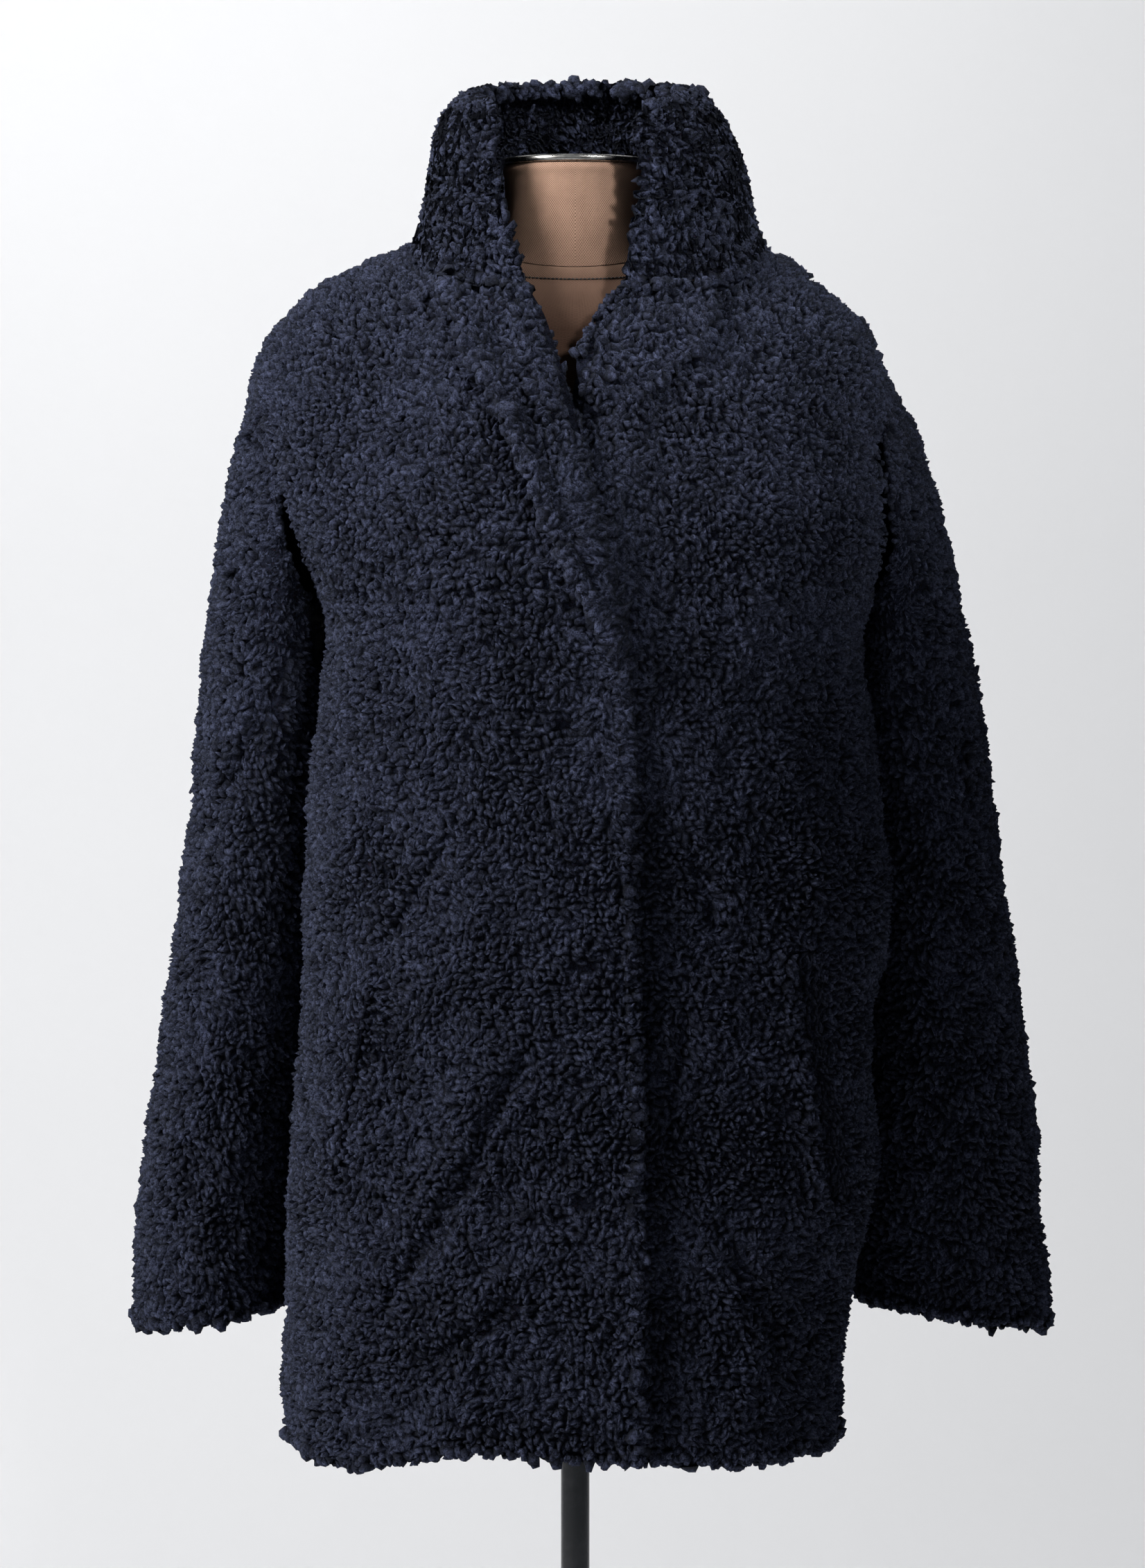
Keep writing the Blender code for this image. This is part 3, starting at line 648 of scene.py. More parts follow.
def new_group(name, inputs, outputs):
    group = bpy.data.node_groups.new(name, "ShaderNodeTree")
    for label, kind in inputs:
        group.interface.new_socket(label, in_out="INPUT", socket_type=kind)
    for label, kind in outputs:
        group.interface.new_socket(label, in_out="OUTPUT", socket_type=kind)
    start = group.nodes.new("NodeGroupInput")
    end = group.nodes.new("NodeGroupOutput")
    return group, start, end


def feed(tree, value, socket):
    """Links a socket to another one, or sets it to a constant."""
    if isinstance(value, bpy.types.NodeSocket):
        tree.links.new(value, socket)
    else:
        socket.default_value = value


def math_node(tree, operation, first, second=None, third=None):
    node = tree.nodes.new("ShaderNodeMath")
    node.operation = operation
    for socket, value in zip(node.inputs, (first, second, third)):
        if value is not None:
            feed(tree, value, socket)
    return node.outputs[0]


def noise_node(tree, place, scale, detail=2.0, rough=0.6):
    node = tree.nodes.new("ShaderNodeTexNoise")
    node.inputs["Scale"].default_value = scale
    node.inputs["Detail"].default_value = detail
    node.inputs["Roughness"].default_value = rough
    tree.links.new(place, node.inputs["Vector"])
    return node.outputs["Fac"]


def mix_node(tree, share, first, second):
    node = tree.nodes.new("ShaderNodeMix")
    node.data_type = "RGBA"
    for place, value in zip(MIX_INPUTS, (share, first, second)):
        feed(tree, value, node.inputs[place])
    return node.outputs[MIX_RESULT]


def span_node(tree, value, low, high):
    """Spreads the values between low and high over 0 to 1."""
    node = tree.nodes.new("ShaderNodeMapRange")
    node.inputs["From Min"].default_value = low
    node.inputs["From Max"].default_value = high
    tree.links.new(value, node.inputs["Value"])
    return node.outputs["Result"]


def two_tone(tree, value, low, high, dark, light):
    """A dark colour that turns into a light one as a value goes from low to high."""
    return mix_node(tree, span_node(tree, value, low, high), dark, light)


fibres, fibres_in, fibres_out = new_group(
    "fibres",
    (("Place", "NodeSocketVector"), ("Dark", "NodeSocketColor"), ("Light", "NodeSocketColor")),
    (("Colour", "NodeSocketColor"), ("Height", "NodeSocketFloat")),
)
place = fibres_in.outputs["Place"]
hair_mix = None
for layer in HAIR_LAYERS:
    hairs = noise_node(fibres, place, layer.scale, layer.detail, layer.rough)
    hairs = math_node(fibres, "MULTIPLY", hairs, layer.share)
    hair_mix = hairs if hair_mix is None else math_node(fibres, "ADD", hair_mix, hairs)
hair_ends = fibres_in.outputs["Dark"], fibres_in.outputs["Light"]
hair_colour = two_tone(fibres, hair_mix, *HAIR_SPAN, *hair_ends)
for tint in (RED_HAIR, BLUE_HAIR):
    some = noise_node(fibres, place, tint.scale, detail=1.0, rough=0.5)
    some = span_node(fibres, some, tint.low, tint.high)
    some = math_node(fibres, "MULTIPLY", some, tint.share)
    hair_colour = mix_node(fibres, some, hair_colour, tint.colour)
fibres.links.new(hair_colour, fibres_out.inputs["Colour"])
fibres.links.new(hair_mix, fibres_out.inputs["Height"])

weave, weave_in, weave_out = new_group(
    "weave",
    (("Across", "NodeSocketFloat"), ("Along", "NodeSocketFloat"), ("Threads", "NodeSocketFloat")),
    (("Height", "NodeSocketFloat"), ("Crossing", "NodeSocketFloat")),
)
turns = math_node(weave, "MULTIPLY", weave_in.outputs["Threads"], 2 * math.pi)
weft = math_node(weave, "SINE", math_node(weave, "MULTIPLY", weave_in.outputs["Across"], turns))
warp = math_node(weave, "SINE", math_node(weave, "MULTIPLY", weave_in.outputs["Along"], turns))
crossing = math_node(weave, "MULTIPLY", weft, warp)
weave.links.new(crossing, weave_out.inputs["Height"])
weave.links.new(span_node(weave, crossing, -1, 1), weave_out.inputs["Crossing"])
print("node groups:", fibres.name, weave.name)

# %% [markdown]
# ## Materials
#
# The pile is a very dark navy that scatters light softly at grazing angles, which is what sheen does.
# Each curl carries two numbers: how high a point stands above the backing, so that the roots get a
# painted shade, and a tone of its own, which on the pocket welt is made darker as painted shade. The
# backing below is the same yarn, painted darker still as shade between the curls.

# %% Pile and backing
CURL_DARK = (0.0064, 0.0083, 0.0200, 1)
CURL_LIGHT = (0.1280, 0.1490, 0.2620, 1)
# Painted shade: the dark colour of the curl roots stands in for shade in the crevices between curls.
PAINTED_ROOT_SHADE = (0.0026, 0.0032, 0.0070, 1)
STAND_SPAN, SHADE_SHARE = (0.22, 0.95), 0.6
# The backing's colours are kept darker than the curls' as painted shade in the gaps, slits and pits
# where it shows.
BACKING_DARK, BACKING_LIGHT = (0.0020, 0.0025, 0.0054, 1), (0.0200, 0.0240, 0.0460, 1)


def new_material(name):
    material = bpy.data.materials.new(name)
    material.use_nodes = True
    tree = material.node_tree
    return material, tree, tree.nodes["Principled BSDF"]


def group_node(tree, group, **values):
    node = tree.nodes.new("ShaderNodeGroup")
    node.node_tree = group
    set_inputs(tree, node, values)
    return node


def set_inputs(tree, node, values):
    """Links or sets the named inputs of a node."""
    for label, value in values.items():
        feed(tree, value, node.inputs[label])


def bump_node(tree, shader, height, strength, distance):
    node = tree.nodes.new("ShaderNodeBump")
    node.inputs["Strength"].default_value = strength
    node.inputs["Distance"].default_value = distance
    tree.links.new(height, node.inputs["Height"])
    tree.links.new(node.outputs["Normal"], shader.inputs["Normal"])


def carried(tree, name):
    node = tree.nodes.new("ShaderNodeAttribute")
    node.attribute_name = name
    return node.outputs["Fac"]


def object_place(tree):
    return tree.nodes.new("ShaderNodeTexCoord").outputs["Object"]


curl_pile, tree, shader = new_material("navy curls")
hair = group_node(tree, fibres, Place=object_place(tree), Dark=CURL_DARK, Light=CURL_LIGHT)
# The lower points of each curl are painted towards the root colour, as painted shade of the crevices.
stand = span_node(tree, carried(tree, "stand"), *STAND_SPAN)
root_shaded = mix_node(tree, stand, PAINTED_ROOT_SHADE, hair.outputs["Colour"])
shaded = math_node(tree, "MULTIPLY", carried(tree, "shade"), SHADE_SHARE)
pile_looks = {
    "Base Color": mix_node(tree, shaded, root_shaded, PAINTED_ROOT_SHADE),
    "Roughness": 0.85,
    "Specular IOR Level": 0.08,
    "Sheen Weight": 0.05,
    "Sheen Roughness": 0.45,
    "Sheen Tint": (0.75, 0.84, 1.0, 1),
}
set_inputs(tree, shader, pile_looks)
bump_node(tree, shader, hair.outputs["Height"], strength=1.0, distance=0.0036)

backing, tree, shader = new_material("knitted backing")
hair = group_node(tree, fibres, Place=object_place(tree), Dark=BACKING_DARK, Light=BACKING_LIGHT)
backing_looks = {"Base Color": hair.outputs["Colour"], "Roughness": 0.95, "Specular IOR Level": 0.1}
set_inputs(tree, shader, backing_looks)
bump_node(tree, shader, hair.outputs["Height"], strength=1.0, distance=0.005)
print("pile materials:", curl_pile.name, backing.name)

# %% Canvas, steel, enamel and thread
CANVAS_DARK, CANVAS_LIGHT = (0.040, 0.020, 0.013, 1), (0.51, 0.318, 0.228, 1)
THREADS_PER_METRE = 680
GAP_SPAN, GAP_SHARE, SLUB_SHARE = (0.08, 0.70), 0.70, 0.55
# The canvas is painted darker towards the bottom of the neck and into the V, as painted shade of the
# collar.
NECK_PAINTED_SHADE, NECK_PAINTED_SHADE_Z = 0.94, (1.385, 1.490)
STEEL_DARK, STEEL_LIGHT = (0.30, 0.29, 0.27, 1), (0.66, 0.65, 0.63, 1)
ENAMEL_DARK, ENAMEL_LIGHT = (0.022, 0.025, 0.029, 1), (0.046, 0.050, 0.056, 1)
THREAD_DARK, THREAD_LIGHT = (0.002, 0.002, 0.003, 1), (0.008, 0.008, 0.009, 1)

form_canvas, tree, shader = new_material("form canvas")
cloth_map = tree.nodes.new("ShaderNodeUVMap")
cloth_map.uv_map = "cloth"
lengths = tree.nodes.new("ShaderNodeSeparateXYZ")
tree.links.new(cloth_map.outputs["UV"], lengths.inputs["Vector"])
threads = group_node(
    tree, weave, Across=lengths.outputs["X"], Along=lengths.outputs["Y"], Threads=THREADS_PER_METRE
)
slub = noise_node(tree, object_place(tree), scale=60, detail=4.0, rough=0.6)
gaps = span_node(tree, threads.outputs["Crossing"], *GAP_SPAN)
worn = math_node(tree, "MULTIPLY_ADD", gaps, GAP_SHARE, math_node(tree, "MULTIPLY", slub, SLUB_SHARE))
height = tree.nodes.new("ShaderNodeSeparateXYZ")
tree.links.new(object_place(tree), height.inputs["Vector"])
# Painted shade: the canvas darkens towards the neck seam, standing in for the collar's shadow.
neck_painted_shade = math_node(tree, "MULTIPLY_ADD", span_node(tree, height.outputs["Z"], *NECK_PAINTED_SHADE_Z), -NECK_PAINTED_SHADE, NECK_PAINTED_SHADE)
unshaded_canvas = mix_node(tree, worn, CANVAS_DARK, CANVAS_LIGHT)
canvas_looks = {
    "Base Color": mix_node(tree, neck_painted_shade, unshaded_canvas, CANVAS_DARK),
    "Roughness": 0.9,
    "Specular IOR Level": 0.15,
}
set_inputs(tree, shader, canvas_looks)
bump_node(tree, shader, threads.outputs["Height"], strength=0.5, distance=0.0004)

steel, tree, shader = new_material("worn steel")
smear = noise_node(tree, object_place(tree), scale=90, detail=5.0, rough=0.65)
steel_looks = {
    "Base Color": two_tone(tree, smear, low=0.3, high=0.7, dark=STEEL_DARK, light=STEEL_LIGHT),
    "Roughness": math_node(tree, "MULTIPLY_ADD", smear, 0.30, 0.12),
    "Metallic": 1.0,
}
set_inputs(tree, shader, steel_looks)
bump_node(tree, shader, smear, strength=0.1, distance=0.0005)

enamel, tree, shader = new_material("black enamel")
orange_peel = noise_node(tree, object_place(tree), scale=700, detail=2.0, rough=0.5)
scuff = noise_node(tree, object_place(tree), scale=35, detail=6.0, rough=0.7)
enamel_looks = {
    "Base Color": two_tone(tree, scuff, low=0.45, high=0.75, dark=ENAMEL_DARK, light=ENAMEL_LIGHT),
    "Roughness": math_node(tree, "MULTIPLY_ADD", scuff, 0.25, 0.10),
}
set_inputs(tree, shader, enamel_looks)
bump_node(tree, shader, orange_peel, strength=0.05, distance=0.0003)

thread, tree, shader = new_material("black thread")
ply = noise_node(tree, object_place(tree), scale=1800, detail=2.0, rough=0.5)
thread_tone = two_tone(tree, ply, low=0.4, high=0.6, dark=THREAD_DARK, light=THREAD_LIGHT)
set_inputs(tree, shader, {"Base Color": thread_tone, "Roughness": 0.42})
bump_node(tree, shader, ply, strength=0.3, distance=0.0003)
print("form materials:", form_canvas.name, steel.name, enamel.name, thread.name)

# %% [markdown]
# ## Backdrop
#
# The picture has a plain pale sweep with no visible floor line. A sheet that lies on the floor, bends
# up behind and goes on as a wall gives the same: one even tone that falls off to the lower right.
# The back of the sheet is clear, so the coat can be seen from behind too.

# %% Sweep
SWEEP_WIDE, SWEEP_FRONT, SWEEP_BACK, SWEEP_BEND, SWEEP_TOP = 5.0, -4.5, 2.6, 1.2, 4.6
BEND_STEPS, SIDE_STEPS = 24, 9
PAPER_DARK, PAPER_LIGHT = (0.82, 0.825, 0.84, 1), (0.84, 0.845, 0.86, 1)
paper, tree, shader = new_material("sweep paper")
paper_tone = noise_node(tree, object_place(tree), scale=3.0, detail=3.0, rough=0.5)
behind = tree.nodes.new("ShaderNodeNewGeometry").outputs["Backfacing"]
paper_looks = {
    "Base Color": mix_node(tree, paper_tone, PAPER_DARK, PAPER_LIGHT),
    "Roughness": 0.95,
    "Alpha": math_node(tree, "MULTIPLY_ADD", behind, -1.0, 1.0),
}
set_inputs(tree, shader, paper_looks)
turn = np.linspace(0, math.pi / 2, BEND_STEPS)
bend_y = SWEEP_BACK - SWEEP_BEND + SWEEP_BEND * np.sin(turn)
profile_y = np.concatenate(([SWEEP_FRONT], bend_y, [SWEEP_BACK]))
profile_z = np.concatenate(([0.0], SWEEP_BEND * (1 - np.cos(turn)), [SWEEP_TOP]))
sides = np.linspace(-SWEEP_WIDE, SWEEP_WIDE, SIDE_STEPS)
sweep_grid = np.broadcast_arrays(sides[None, :], profile_y[:, None], profile_z[:, None])
sweep_points = np.stack(sweep_grid, -1).reshape(-1, 3)
sweep = piece_of("sweep", sweep_points, grid_faces(len(profile_y), len(sides)), paper)
print("sweep points:", len(sweep_points))

# %% [markdown]
# ## The form
#
# The form is padded and covered with canvas. Its neck is a second piece, sewn on with a dark thread
# and topped with a steel plate. Rings of points give a smooth shape, and lengths round and up the
# cloth are stored as a map, so that the weave keeps its size.

# %% Turned and lofted pieces
FormRow = namedtuple("FormRow", "z half y_mid front back tilt")
FORM = (
    FormRow(0.790, 0.1500, 0.004, 0.094, 0.106, 0.0),
    FormRow(0.850, 0.1530, 0.004, 0.096, 0.108, 0.0),
    FormRow(0.930, 0.1420, 0.002, 0.090, 0.096, 0.0),
    FormRow(1.030, 0.1130, 0.000, 0.082, 0.078, 0.0),
    FormRow(1.120, 0.1260, -0.002, 0.098, 0.084, 0.0),
    FormRow(1.200, 0.1380, -0.002, 0.112, 0.094, 0.0),
    FormRow(1.270, 0.1500, 0.000, 0.098, 0.098, 0.0),
    FormRow(1.330, 0.1640, 0.004, 0.082, 0.092, 0.0),
    FormRow(1.365, 0.1700, 0.006, 0.074, 0.084, 0.0),
    FormRow(1.388, 0.1600, 0.008, 0.066, 0.074, 0.002),
    FormRow(1.404, 0.1380, 0.008, 0.060, 0.066, 0.005),
    FormRow(1.417, 0.1040, 0.006, 0.056, 0.060, 0.009),
    FormRow(1.427, 0.0740, 0.005, 0.053, 0.056, 0.012),
    FormRow(1.437, 0.0570, 0.004, 0.051, 0.052, 0.013),
    FormRow(1.440, 0.0540, 0.004, 0.050, 0.050, 0.014),
)
NECK = (
    FormRow(1.4404, 0.0540, 0.004, 0.0500, 0.0500, 0.0140),
    FormRow(1.4440, 0.0520, 0.004, 0.0488, 0.0488, 0.0128),
    FormRow(1.4500, 0.0496, 0.004, 0.0478, 0.0478, 0.0100),
    FormRow(1.4580, 0.0478, 0.004, 0.0470, 0.0470, 0.0060),
    FormRow(1.4700, 0.0466, 0.004, 0.0465, 0.0465, 0.0000),
    FormRow(1.4860, 0.0468, 0.004, 0.0468, 0.0468, 0.0000),
    FormRow(1.4935, 0.0470, 0.004, 0.0470, 0.0470, 0.0000),
    FormRow(1.4945, 0.0462, 0.004, 0.0462, 0.0462, 0.0000),
)
FORM_ROWS, NECK_ROWS, FORM_COLUMNS = 70, 36, 96
RIM_ROW = 0.0004
CAP_RINGS, CAP_LAST = 6, 0.02


def row_heights(rows, count):
    """Even heights through a table, with a second ring close to each end to keep the rim crisp."""
    z = np.interp(np.linspace(0, len(rows) - 1, count), np.arange(len(rows)), [row.z for row in rows])
    return np.concatenate((z[:1], z[:1] + RIM_ROW, z[1:-1], z[-1:] - RIM_ROW, z[-1:]))


def oval_rings(rows, heights):
    """Closed rings through a table, one at each height."""
    at = tracks(rows)
    theta = np.linspace(0, 2 * math.pi, FORM_COLUMNS, endpoint=False)
    theta, z = np.meshgrid(theta, heights)
    turn_x, turn_y = np.sin(theta), -np.cos(theta)
    depth = np.where(turn_y < 0, at["front"](z), at["back"](z))
    x, y = at["half"](z) * turn_x, at["y_mid"](z) + depth * turn_y
    return np.stack((x, y, z + at["tilt"](z) * turn_y), -1)


def capped(name, rings, material):
    """A closed form through rings, whose flat ends are drawn in to a small face in the middle."""
    def closing(ring):
        shares = np.linspace(1, CAP_LAST, CAP_RINGS)[1:, None, None]
        return ring.mean(axis=0) + (ring - ring.mean(axis=0)) * shares

    whole = np.concatenate((closing(rings[0])[::-1], rings, closing(rings[-1])))
    rows, columns = whole.shape[:2]
    made = piece_of(name, whole.reshape(-1, 3), grid_faces(rows, columns, closed=True), material)
    steps = np.linalg.norm(np.diff(whole, axis=0), axis=-1).mean(axis=1)
    up = np.concatenate(([0], np.cumsum(steps)))
    round_about = np.linalg.norm(np.roll(rings[-1], -1, axis=0) - rings[-1], axis=-1).sum()
    row, column = np.meshgrid(np.arange(rows - 1), np.arange(columns), indexing="ij")
    across = np.stack((column, column + 1, column + 1, column), -1) * round_about / columns
    along = np.stack((up[row], up[row], up[row + 1], up[row + 1]), -1)
    layer = made.data.uv_layers.new(name="cloth")
    layer.data.foreach_set("uv", np.stack((across, along), -1).astype(np.float32).ravel())
    bm = bmesh.new()
    bm.from_mesh(made.data)
    bm.verts.ensure_lookup_table()
    for ring in (range(columns - 1, -1, -1), range((rows - 1) * columns, rows * columns)):
        bm.faces.new([bm.verts[i] for i in ring])
    bm.to_mesh(made.data)
    bm.free()
    return made


def lathe(name, profile, material, middle=(0.0, 0.0)):
    """A form turned round an upright axis, from a profile of radius and height."""
    theta = np.linspace(0, 2 * math.pi, FORM_COLUMNS, endpoint=False)
    radius, height = np.array(profile, float).T
    x = middle[0] + radius[:, None] * np.sin(theta)
    y = middle[1] - radius[:, None] * np.cos(theta)
    return capped(name, np.stack((x, y, height[:, None] + 0 * x), -1), material)


torso = capped("torso_cover", oval_rings(FORM, row_heights(FORM, FORM_ROWS)), form_canvas)
neck = capped("neck_cover", oval_rings(NECK, row_heights(NECK, NECK_ROWS)), form_canvas)
print("torso faces:", len(torso.data.polygons), "neck faces:", len(neck.data.polygons))

# %% Plate, socket, pole and base
NECK_Y, ROUNDING_STEPS = 0.004, 6
Turned = namedtuple("Turned", "radius bottom top edge")
PLATE = Turned(0.0485, 1.4949, 1.4993, 0.0018)
PLATE_DISH = ((0.0450, 0.0002), (0.0440, 0.0012), (0.0400, 0.0013))  # radius, depth below the top
SOCKET = Turned(0.024, 0.7676, 0.7896, 0.002)
POLE = Turned(0.0096, 0.0124, 0.7672, 0.0008)
BASE = Turned(0.180, 0.0, 0.012, 0.003)


def rounded(form):
    """A profile with rounded edges, read upwards."""
    turn = np.linspace(0, math.pi / 2, ROUNDING_STEPS)
    edge, inner = form.edge, form.radius - form.edge
    low = [(inner + edge * math.sin(t), form.bottom + edge - edge * math.cos(t)) for t in turn]
    high = [(inner + edge * math.cos(t), form.top - edge + edge * math.sin(t)) for t in turn]
    return low + high


plate_profile = rounded(PLATE) + [(radius, PLATE.top - depth) for radius, depth in PLATE_DISH]
plate = lathe("neck_plate", plate_profile, steel, (0.0, NECK_Y))
socket = lathe("pole_socket", rounded(SOCKET), enamel)
pole = lathe("pole_tube", rounded(POLE), enamel)
base = lathe("base_plate", rounded(BASE), enamel)
for made, node, finish in (
    (torso, "form_torso", "canvas"),
    (neck, "form_neck", "canvas"),
    (plate, "form_neck_cap", "dull_steel"),
    (socket, "stand_socket", "black_metal"),
    (pole, "stand_pole", "black_metal"),
    (base, "stand_base", "black_metal"),
):
    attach(made, "root")
    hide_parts(node)
print("stand pieces turned")

# %% [markdown]
# ## How the cloth gives
#
# Worn cloth is never a clean surface. Broad slow swells run over all panels, and a few creases cross
# the fronts and the sleeves on a slant. They are listed one by one for the front, and similar ones are
# set on the back. Each is a narrow trough with a soft ridge beside it.

# %% Swells and creases
def swells(seed, length, count=16):
    """A smooth seeded field over space that swings about zero, mostly between -1.5 and 1.5."""
    chance = np.random.default_rng(seed)
    ways = unit(chance.normal(size=(count, 3))) * 2 * math.pi / length
    shifts = chance.uniform(0, 2 * math.pi, count)

    def at(points):
        return np.sin(points @ ways.T + shifts).sum(-1) / math.sqrt(count / 2)

    return at


Crease = namedtuple("Crease", "x1 z1 x2 z2 front wide deep")
CREASES = (
    Crease(-0.084, 1.056, -0.116, 1.006, True, 0.010, 0.0055),
    Crease(-0.034, 0.922, -0.062, 0.866, True, 0.012, 0.0062),
    Crease(-0.070, 0.842, -0.126, 0.758, True, 0.013, 0.0062),
    Crease(-0.045, 0.765, -0.080, 0.735, True, 0.010, 0.0050),
    Crease(0.076, 1.044, 0.088, 1.012, True, 0.010, 0.0050),
    Crease(0.068, 0.940, 0.060, 0.880, True, 0.010, 0.0050),
    Crease(0.100, 0.800, 0.130, 0.740, True, 0.012, 0.0050),
    Crease(0.146, 0.985, 0.170, 0.826, True, 0.010, 0.0050),
    Crease(-0.215, 1.120, -0.245, 1.060, True, 0.010, 0.0050),
    Crease(0.225, 1.140, 0.262, 1.080, True, 0.010, 0.0050),
    Crease(-0.060, 1.080, -0.110, 1.010, False, 0.012, 0.0055),
    Crease(0.050, 0.930, 0.095, 0.860, False, 0.012, 0.0062),
    Crease(0.010, 1.230, 0.085, 1.180, False, 0.014, 0.0055),
    Crease(-0.030, 0.820, -0.075, 0.750, False, 0.012, 0.0055),
)
broad_swell = swells(seed=11, length=0.16)
small_swell = swells(seed=12, length=0.055)
SWELL_BROAD, SWELL_SMALL = 0.0012, 0.0008
Pit = namedtuple("Pit", "x z half_wide half_high")
PITS = (
    Pit(-0.0055, 1.1345, 0.0080, 0.0060),
    Pit(0.0045, 0.9800, 0.0110, 0.0046),
    Pit(0.0065, 0.8295, 0.0110, 0.0046),
)
PIT_DEEP = 0.0030
CREASE_END, CREASE_TROUGH, CREASE_RIDGE, CREASE_RIDGE_AT = 1.5, 0.5, 0.5, 1.3
SIDE_Y = 0.02
COLLAR_ROLL, COLLAR_ROLL_REACH, COLLAR_ROLL_RISE = 0.004, 0.05, 0.4
COLLAR_BULGE, COLLAR_BULGE_AT, COLLAR_BULGE_REACH = 0.006, 0.15, 0.06
HEAD_SINK = {"sleeve_left": 0.0035, "sleeve_right": 0.0060}
HEAD_FROM, HEAD_REACH = 0.88, 0.12
WELT_SINK = 0.0040
Ridge = namedtuple("Ridge", "x1 z1 x2 z2 wide high")
UNDER_ROLL = Ridge(0.032, 1.338, 0.020, 1.235, 0.016, 0.0095)
Slit = namedtuple("Slit", "x1 z1 x2 z2 wide deep lip")
POCKET_SLIT = Slit(0.1475, 0.983, 0.1700, 0.824, 0.0038, 0.0090, 0.0030)
Fill = namedtuple("Fill", "side corner low high")
SLEEVE_FILL = {
    "sleeve_left": Fill(-1, 0.0050, 0.0050, 0.0020),
    "sleeve_right": Fill(1, 0.0060, 0.0045, 0.0030),
}
FILL_Z, FILL_POWER = (1.02, 1.14, 1.33, 1.40), 1.5


def patch(points, spot):
    """1 in the middle of an oval patch, as seen from the front, falling off all round."""
    across = (points[..., 0] - spot.x) / spot.half_wide
    return np.exp(-(across**2 + ((points[..., 2] - spot.z) / spot.half_high) ** 2))


def pitted(points):
    """How far down in a pit the points lie, from 0 to 1."""
    deep = 0.0
    for pit in PITS:
        deep = np.maximum(deep, patch(points, pit))
    return deep * (points[..., 1] < 0)


def relief(points):
    """How far the cloth stands out from its plain face at these points."""
    out = -PIT_DEEP * pitted(points)
    out = out + SWELL_BROAD * broad_swell(points) + SWELL_SMALL * small_swell(points)
    x, y, z = points[..., 0], points[..., 1], points[..., 2]
    for crease in CREASES:
        run = np.array((crease.x2 - crease.x1, crease.z2 - crease.z1))
        length = np.linalg.norm(run)
        run = run / length
        ahead = (x - crease.x1) * run[0] + (z - crease.z1) * run[1]
        beside = (x - crease.x1) * run[1] - (z - crease.z1) * run[0]
        past = np.maximum(np.maximum(-ahead, ahead - length), 0)
        near = bell(past, CREASE_END * crease.wide)
        trough = bell(beside, CREASE_TROUGH * crease.wide)
        ridge = bell(beside, crease.wide, CREASE_RIDGE_AT * crease.wide)
        facing = (y < SIDE_Y) if crease.front else (y > SIDE_Y)
        out = out + facing * near * crease.deep * (CREASE_RIDGE * ridge - trough)
    return out


def sleeve_fill(fill, points, up):
    """How far a sleeve fills the room beside the body: its inner front corner is made squarer."""
    z = points[..., 2]
    below = 1 - ease((z - FILL_Z[2]) / (FILL_Z[3] - FILL_Z[2]))
    upper = below * ease((z - FILL_Z[0]) / (FILL_Z[1] - FILL_Z[0]))
    beside, ahead = np.clip(fill.side * up[..., 0], 0, 1), np.clip(-up[..., 1], 0, 1)
    inner = (fill.low * below + fill.high * upper) * beside**FILL_POWER
    return inner + fill.corner * upper * 2 * beside * ahead


def beside_line(line, points):
    """How far points lie beside a slanted line on the front, and how near its length, 0 to 1."""
    down = np.clip((line.z1 - points[..., 2]) / (line.z1 - line.z2), 0, 1)
    beside = points[..., 0] - (line.x1 + (line.x2 - line.x1) * down)
    past = np.maximum(points[..., 2] - line.z1, line.z2 - points[..., 2])
    return beside, bell(np.maximum(past, 0), line.wide) * (points[..., 1] < 0)


def slit_give(slit, points):
    """A narrow trough with a low lip on the side towards the front edge."""
    beside, near = beside_line(slit, points)
    lip = slit.lip * bell(beside, 2 * slit.wide, -3 * slit.wide)
    return near * (-slit.deep * bell(beside, slit.wide) + lip)


def panel_give(name, share, way, points, up):
    """The give of one panel alone: collar ends roll in, sleeve heads meet the body, welts lie flat."""
    if name == "collar":
        ends = bell(share, COLLAR_ROLL_REACH) + bell(1 - share, COLLAR_ROLL_REACH)
        bulge = COLLAR_BULGE * bell(share, COLLAR_BULGE_REACH, COLLAR_BULGE_AT)
        return bulge - COLLAR_ROLL * ends * ease(np.asarray(way) / COLLAR_ROLL_RISE)
    if name in HEAD_SINK:
        head = -HEAD_SINK[name] * ease((np.asarray(way) - HEAD_FROM) / HEAD_REACH)
        return head + sleeve_fill(SLEEVE_FILL[name], points, up)
    if name in WELTS:
        return -WELT_SINK + 0 * share
    if name == "front_left":
        beside, near = beside_line(UNDER_ROLL, points)
        roll = UNDER_ROLL.high * near * bell(beside, UNDER_ROLL.wide)
        return roll + slit_give(POCKET_SLIT, points)
    return 0.0


def creased(name, face):
    """The same face with its swells, creases and own give."""
    def face_with_relief(share, way, out=0.0):
        points = face(share, way)
        up = unit(face(share, way, 1.0) - points)
        return face(share, way, out + relief(points) + panel_give(name, share, way, points, up))

    return face_with_relief


PLAIN_FACES = FACES
FACES = {name: creased(name, face) for name, face in PLAIN_FACES.items()}


def collar_inside(share, way, out=0.0):
    return FACES["collar"](share, way, -COLLAR_CLOTH - out)


print("creases placed:", len(CREASES))

# %% [markdown]
# ## Shells
#
# The knitted backing is a thin wall under the curls. Each panel is a closed shell on its own face,
# with the hem, cuffs, neck and armholes open, so the coat stays hollow.

